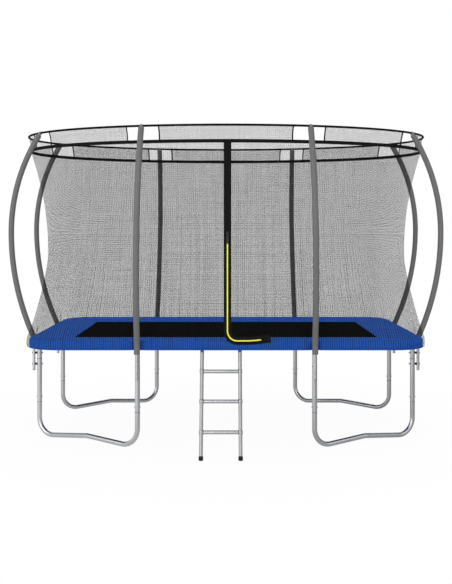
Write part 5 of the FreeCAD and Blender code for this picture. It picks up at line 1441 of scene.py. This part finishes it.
class TRAMPOLINE_OT_springs(Build):
    """Coil springs from the mat's rings to the frame"""

    bl_idname = "trampoline.springs"
    bl_label = "Springs"

    def make(self, values):
        sides = {"front": (0, -1), "back": (0, 1), "right": (1, 0), "left": (-1, 0)}
        for name, (out_x, out_y) in sides.items():
            coils = Shape()
            for x, y, sx, sy in spring_places():
                if (sx, sy) == (out_x, out_y):
                    self.coil(values, coils, x, y, sx, sy)
            piece = coils.piece("springs_" + name, finish("zinc"), "zinc_spring_wire", body=None, crease=180)
            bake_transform(piece)
            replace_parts(piece, "springs")

    def coil(self, values, coils, x, y, out_x, out_y):
        half = HALF_LENGTH if out_x else HALF_WIDTH
        whole = half - TUBE_RADIUS - (MAT_HALF[0] if out_x else MAT_HALF[1]) - 0.001
        wire, radius = 0.0016, 0.0080
        points = [(0.003, 0.0, 0.004), (0.0005, 0.0, 0.001), (0.003, 0.0, -0.002), (0.012, 0.0, 0.0)]
        start, end = 0.020, whole - 0.020
        turns, steps = values.spring_turns, 9
        for k in range(turns * steps + 1):
            angle = 2 * math.pi * k / steps
            grow = min(1.0, 0.35 + k / (1.5 * steps), 0.35 + (turns * steps - k) / (1.5 * steps))
            points.append((start + (end - start) * k / (turns * steps), radius * grow * math.sin(angle),
                           radius * grow * math.cos(angle)))
        points += [(whole - 0.012, 0.0, 0.0), (whole - 0.004, 0.0, -0.002), (whole - 0.0012, 0.0, 0.002),
                   (whole - 0.003, 0.0, 0.006)]
        path = [Vector((x + out_x * a - out_y * b, y + out_y * a + out_x * b + SET_BACK, SPRING_HEIGHT + c))
                for a, b, c in points]
        coils.tube(path, wire, 5)


# Ladder
def ladder_matrix(side=0):
    """Axes of the leaning ladder or of one of its rails, at the frame tube that it hooks over."""
    return (Matrix.Translation((LADDER_SHIFT + side * LADDER_SPREAD, SET_BACK - HALF_WIDTH, RAIL_HEIGHT))
            @ Matrix.Rotation(-LADDER_LEAN, 4, "X"))


def down_rail(height):
    """Where a height above the ground lies along the leaning rail."""
    return -(RAIL_HEIGHT - height) / math.cos(LADDER_LEAN)


class TRAMPOLINE_OT_ladder(Build):
    """The hook-on ladder: rails with flattened ends, rungs, swaged collars and rubber feet"""

    bl_idname = "trampoline.ladder"
    bl_label = "Ladder"

    def make(self, values):
        dress("ladder", "ladder_rail_left", "ladder_rail_right")
        dress("zinc", "ladder_hooks")
        self.feet()
        self.crimps()
        rungs = Shape()
        for height in RUNG_HEIGHTS:
            ends = [Vector((side * (LADDER_SPREAD - COLLAR_HALF), 0, down_rail(height))) for side in (-1, 1)]
            rungs.tube(ends, RUNG_RADIUS, 32, place=ladder_matrix())
        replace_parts(rungs.piece("ladder_round_rungs", finish("steel"), "galvanised_steel", "ladder"), "ladder_rungs")
        collars, beads = Shape(), Shape()
        upper = [(0.0184, 0.0060), (0.0178, 0.0120), (0.0166, 0.0166), (0.0152, COLLAR_HALF)]
        profile = [(radius, -height) for radius, height in reversed(upper)] + [(0.0185, 0.0)] + upper
        for side in (-1, 1):
            for height in RUNG_HEIGHTS:
                level = ladder_matrix(side) @ Matrix.Translation((0, 0, down_rail(height)))
                collars.lathe(profile, 32, level)
                ring = [Vector((-side * math.sqrt(0.0183 ** 2 - y ** 2), y, z))
                        for z, y in circle(RUNG_RADIUS + 0.0001, 32)]
                beads.tube(ring, 0.0014, 6, loop=True, place=level)
        piece = collars.piece("ladder_swaged_collars", finish("ladder"), "galvanised_steel", "ladder", crease=60)
        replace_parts(piece, "ladder_collars")
        beads.piece("rung_welds", finish("weld"), "galvanised_steel", "ladder", crease=60)

    def crimps(self):
        """The rails' upper ends, pressed flat over the hooks' tongues."""
        ends = Shape()
        rows = [[(x * wide, y * deep, -down) for x, y in circle(1.0, 32)] for wide, deep, down in CRIMP_SIZES]
        for side in (-1, 1):
            ends.skin(rows, across=True, lids=True, place=ladder_matrix(side))
        ends.piece("ladder_rail_crimps", finish("ladder"), "galvanised_steel", "ladder", crease=50)

    def feet(self):
        """Rubber caps on the rails' ends, cut level with the ground, with one moulded bead."""
        ground = down_rail(0.0)
        top = ground + FOOT_LENGTH
        caps = Shape()
        level_rows = [(FOOT_RADIUS - 0.0060, 0.0002), (FOOT_RADIUS - 0.0016, 0.0002), (FOOT_RADIUS, 0.0020)]
        square_rows = [(FOOT_RADIUS, top - 0.0080), (FOOT_RADIUS + 0.0009, top - 0.0070),
                       (FOOT_RADIUS + 0.0009, top - 0.0045), (FOOT_RADIUS, top - 0.0035),
                       (FOOT_RADIUS - 0.0004, top - 0.0008), (FOOT_RADIUS - 0.0016, top),
                       (LADDER_RAIL_RADIUS + 0.0002, top)]
        for side in (-1, 1):
            rows = [[(x, y, ground + lift + y * math.tan(LADDER_LEAN)) for x, y in circle(radius, 32)]
                    for radius, lift in level_rows]
            rows += [[(x, y, height) for x, y in circle(radius, 32)] for radius, height in square_rows]
            caps.skin(rows, across=True, lids=False, place=ladder_matrix(side))
            caps.face([len(caps.points) - 32 * len(rows) + j for j in reversed(range(32))])
        piece = caps.piece("ladder_rubber_feet", finish("rubber"), "black_rubber", "ladder", crease=50)
        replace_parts(piece, "ladder_feet")


class TRAMPOLINE_PT_panel(bpy.types.Panel):
    """Lists the settings and the steps that build the trampoline"""

    bl_idname = "TRAMPOLINE_PT_panel"
    bl_label = "Trampoline"
    bl_space_type = "VIEW_3D"
    bl_region_type = "UI"
    bl_category = "Trampoline"

    def draw(self, context):
        for name in TrampolineSettings.__annotations__:
            self.layout.prop(context.scene.trampoline, name)
        for step in STEPS:
            self.layout.operator(step.bl_idname)


STEPS = (TRAMPOLINE_OT_stage, TRAMPOLINE_OT_steel, TRAMPOLINE_OT_fixings, TRAMPOLINE_OT_foam_sleeves,
         TRAMPOLINE_OT_ring_and_band, TRAMPOLINE_OT_net, TRAMPOLINE_OT_doorway, TRAMPOLINE_OT_pad, TRAMPOLINE_OT_mat,
         TRAMPOLINE_OT_springs, TRAMPOLINE_OT_ladder)


def register():
    for item in (TrampolineSettings, *STEPS, TRAMPOLINE_PT_panel):
        bpy.utils.register_class(item)
    bpy.types.Scene.trampoline = bpy.props.PointerProperty(type=TrampolineSettings)


def unregister():
    del bpy.types.Scene.trampoline
    for item in reversed((TrampolineSettings, *STEPS, TRAMPOLINE_PT_panel)):
        bpy.utils.unregister_class(item)


def main():
    register()
    for step in STEPS:
        group, name = step.bl_idname.split(".")
        getattr(getattr(bpy.ops, group), name)()


if __name__ == "__main__":
    main()
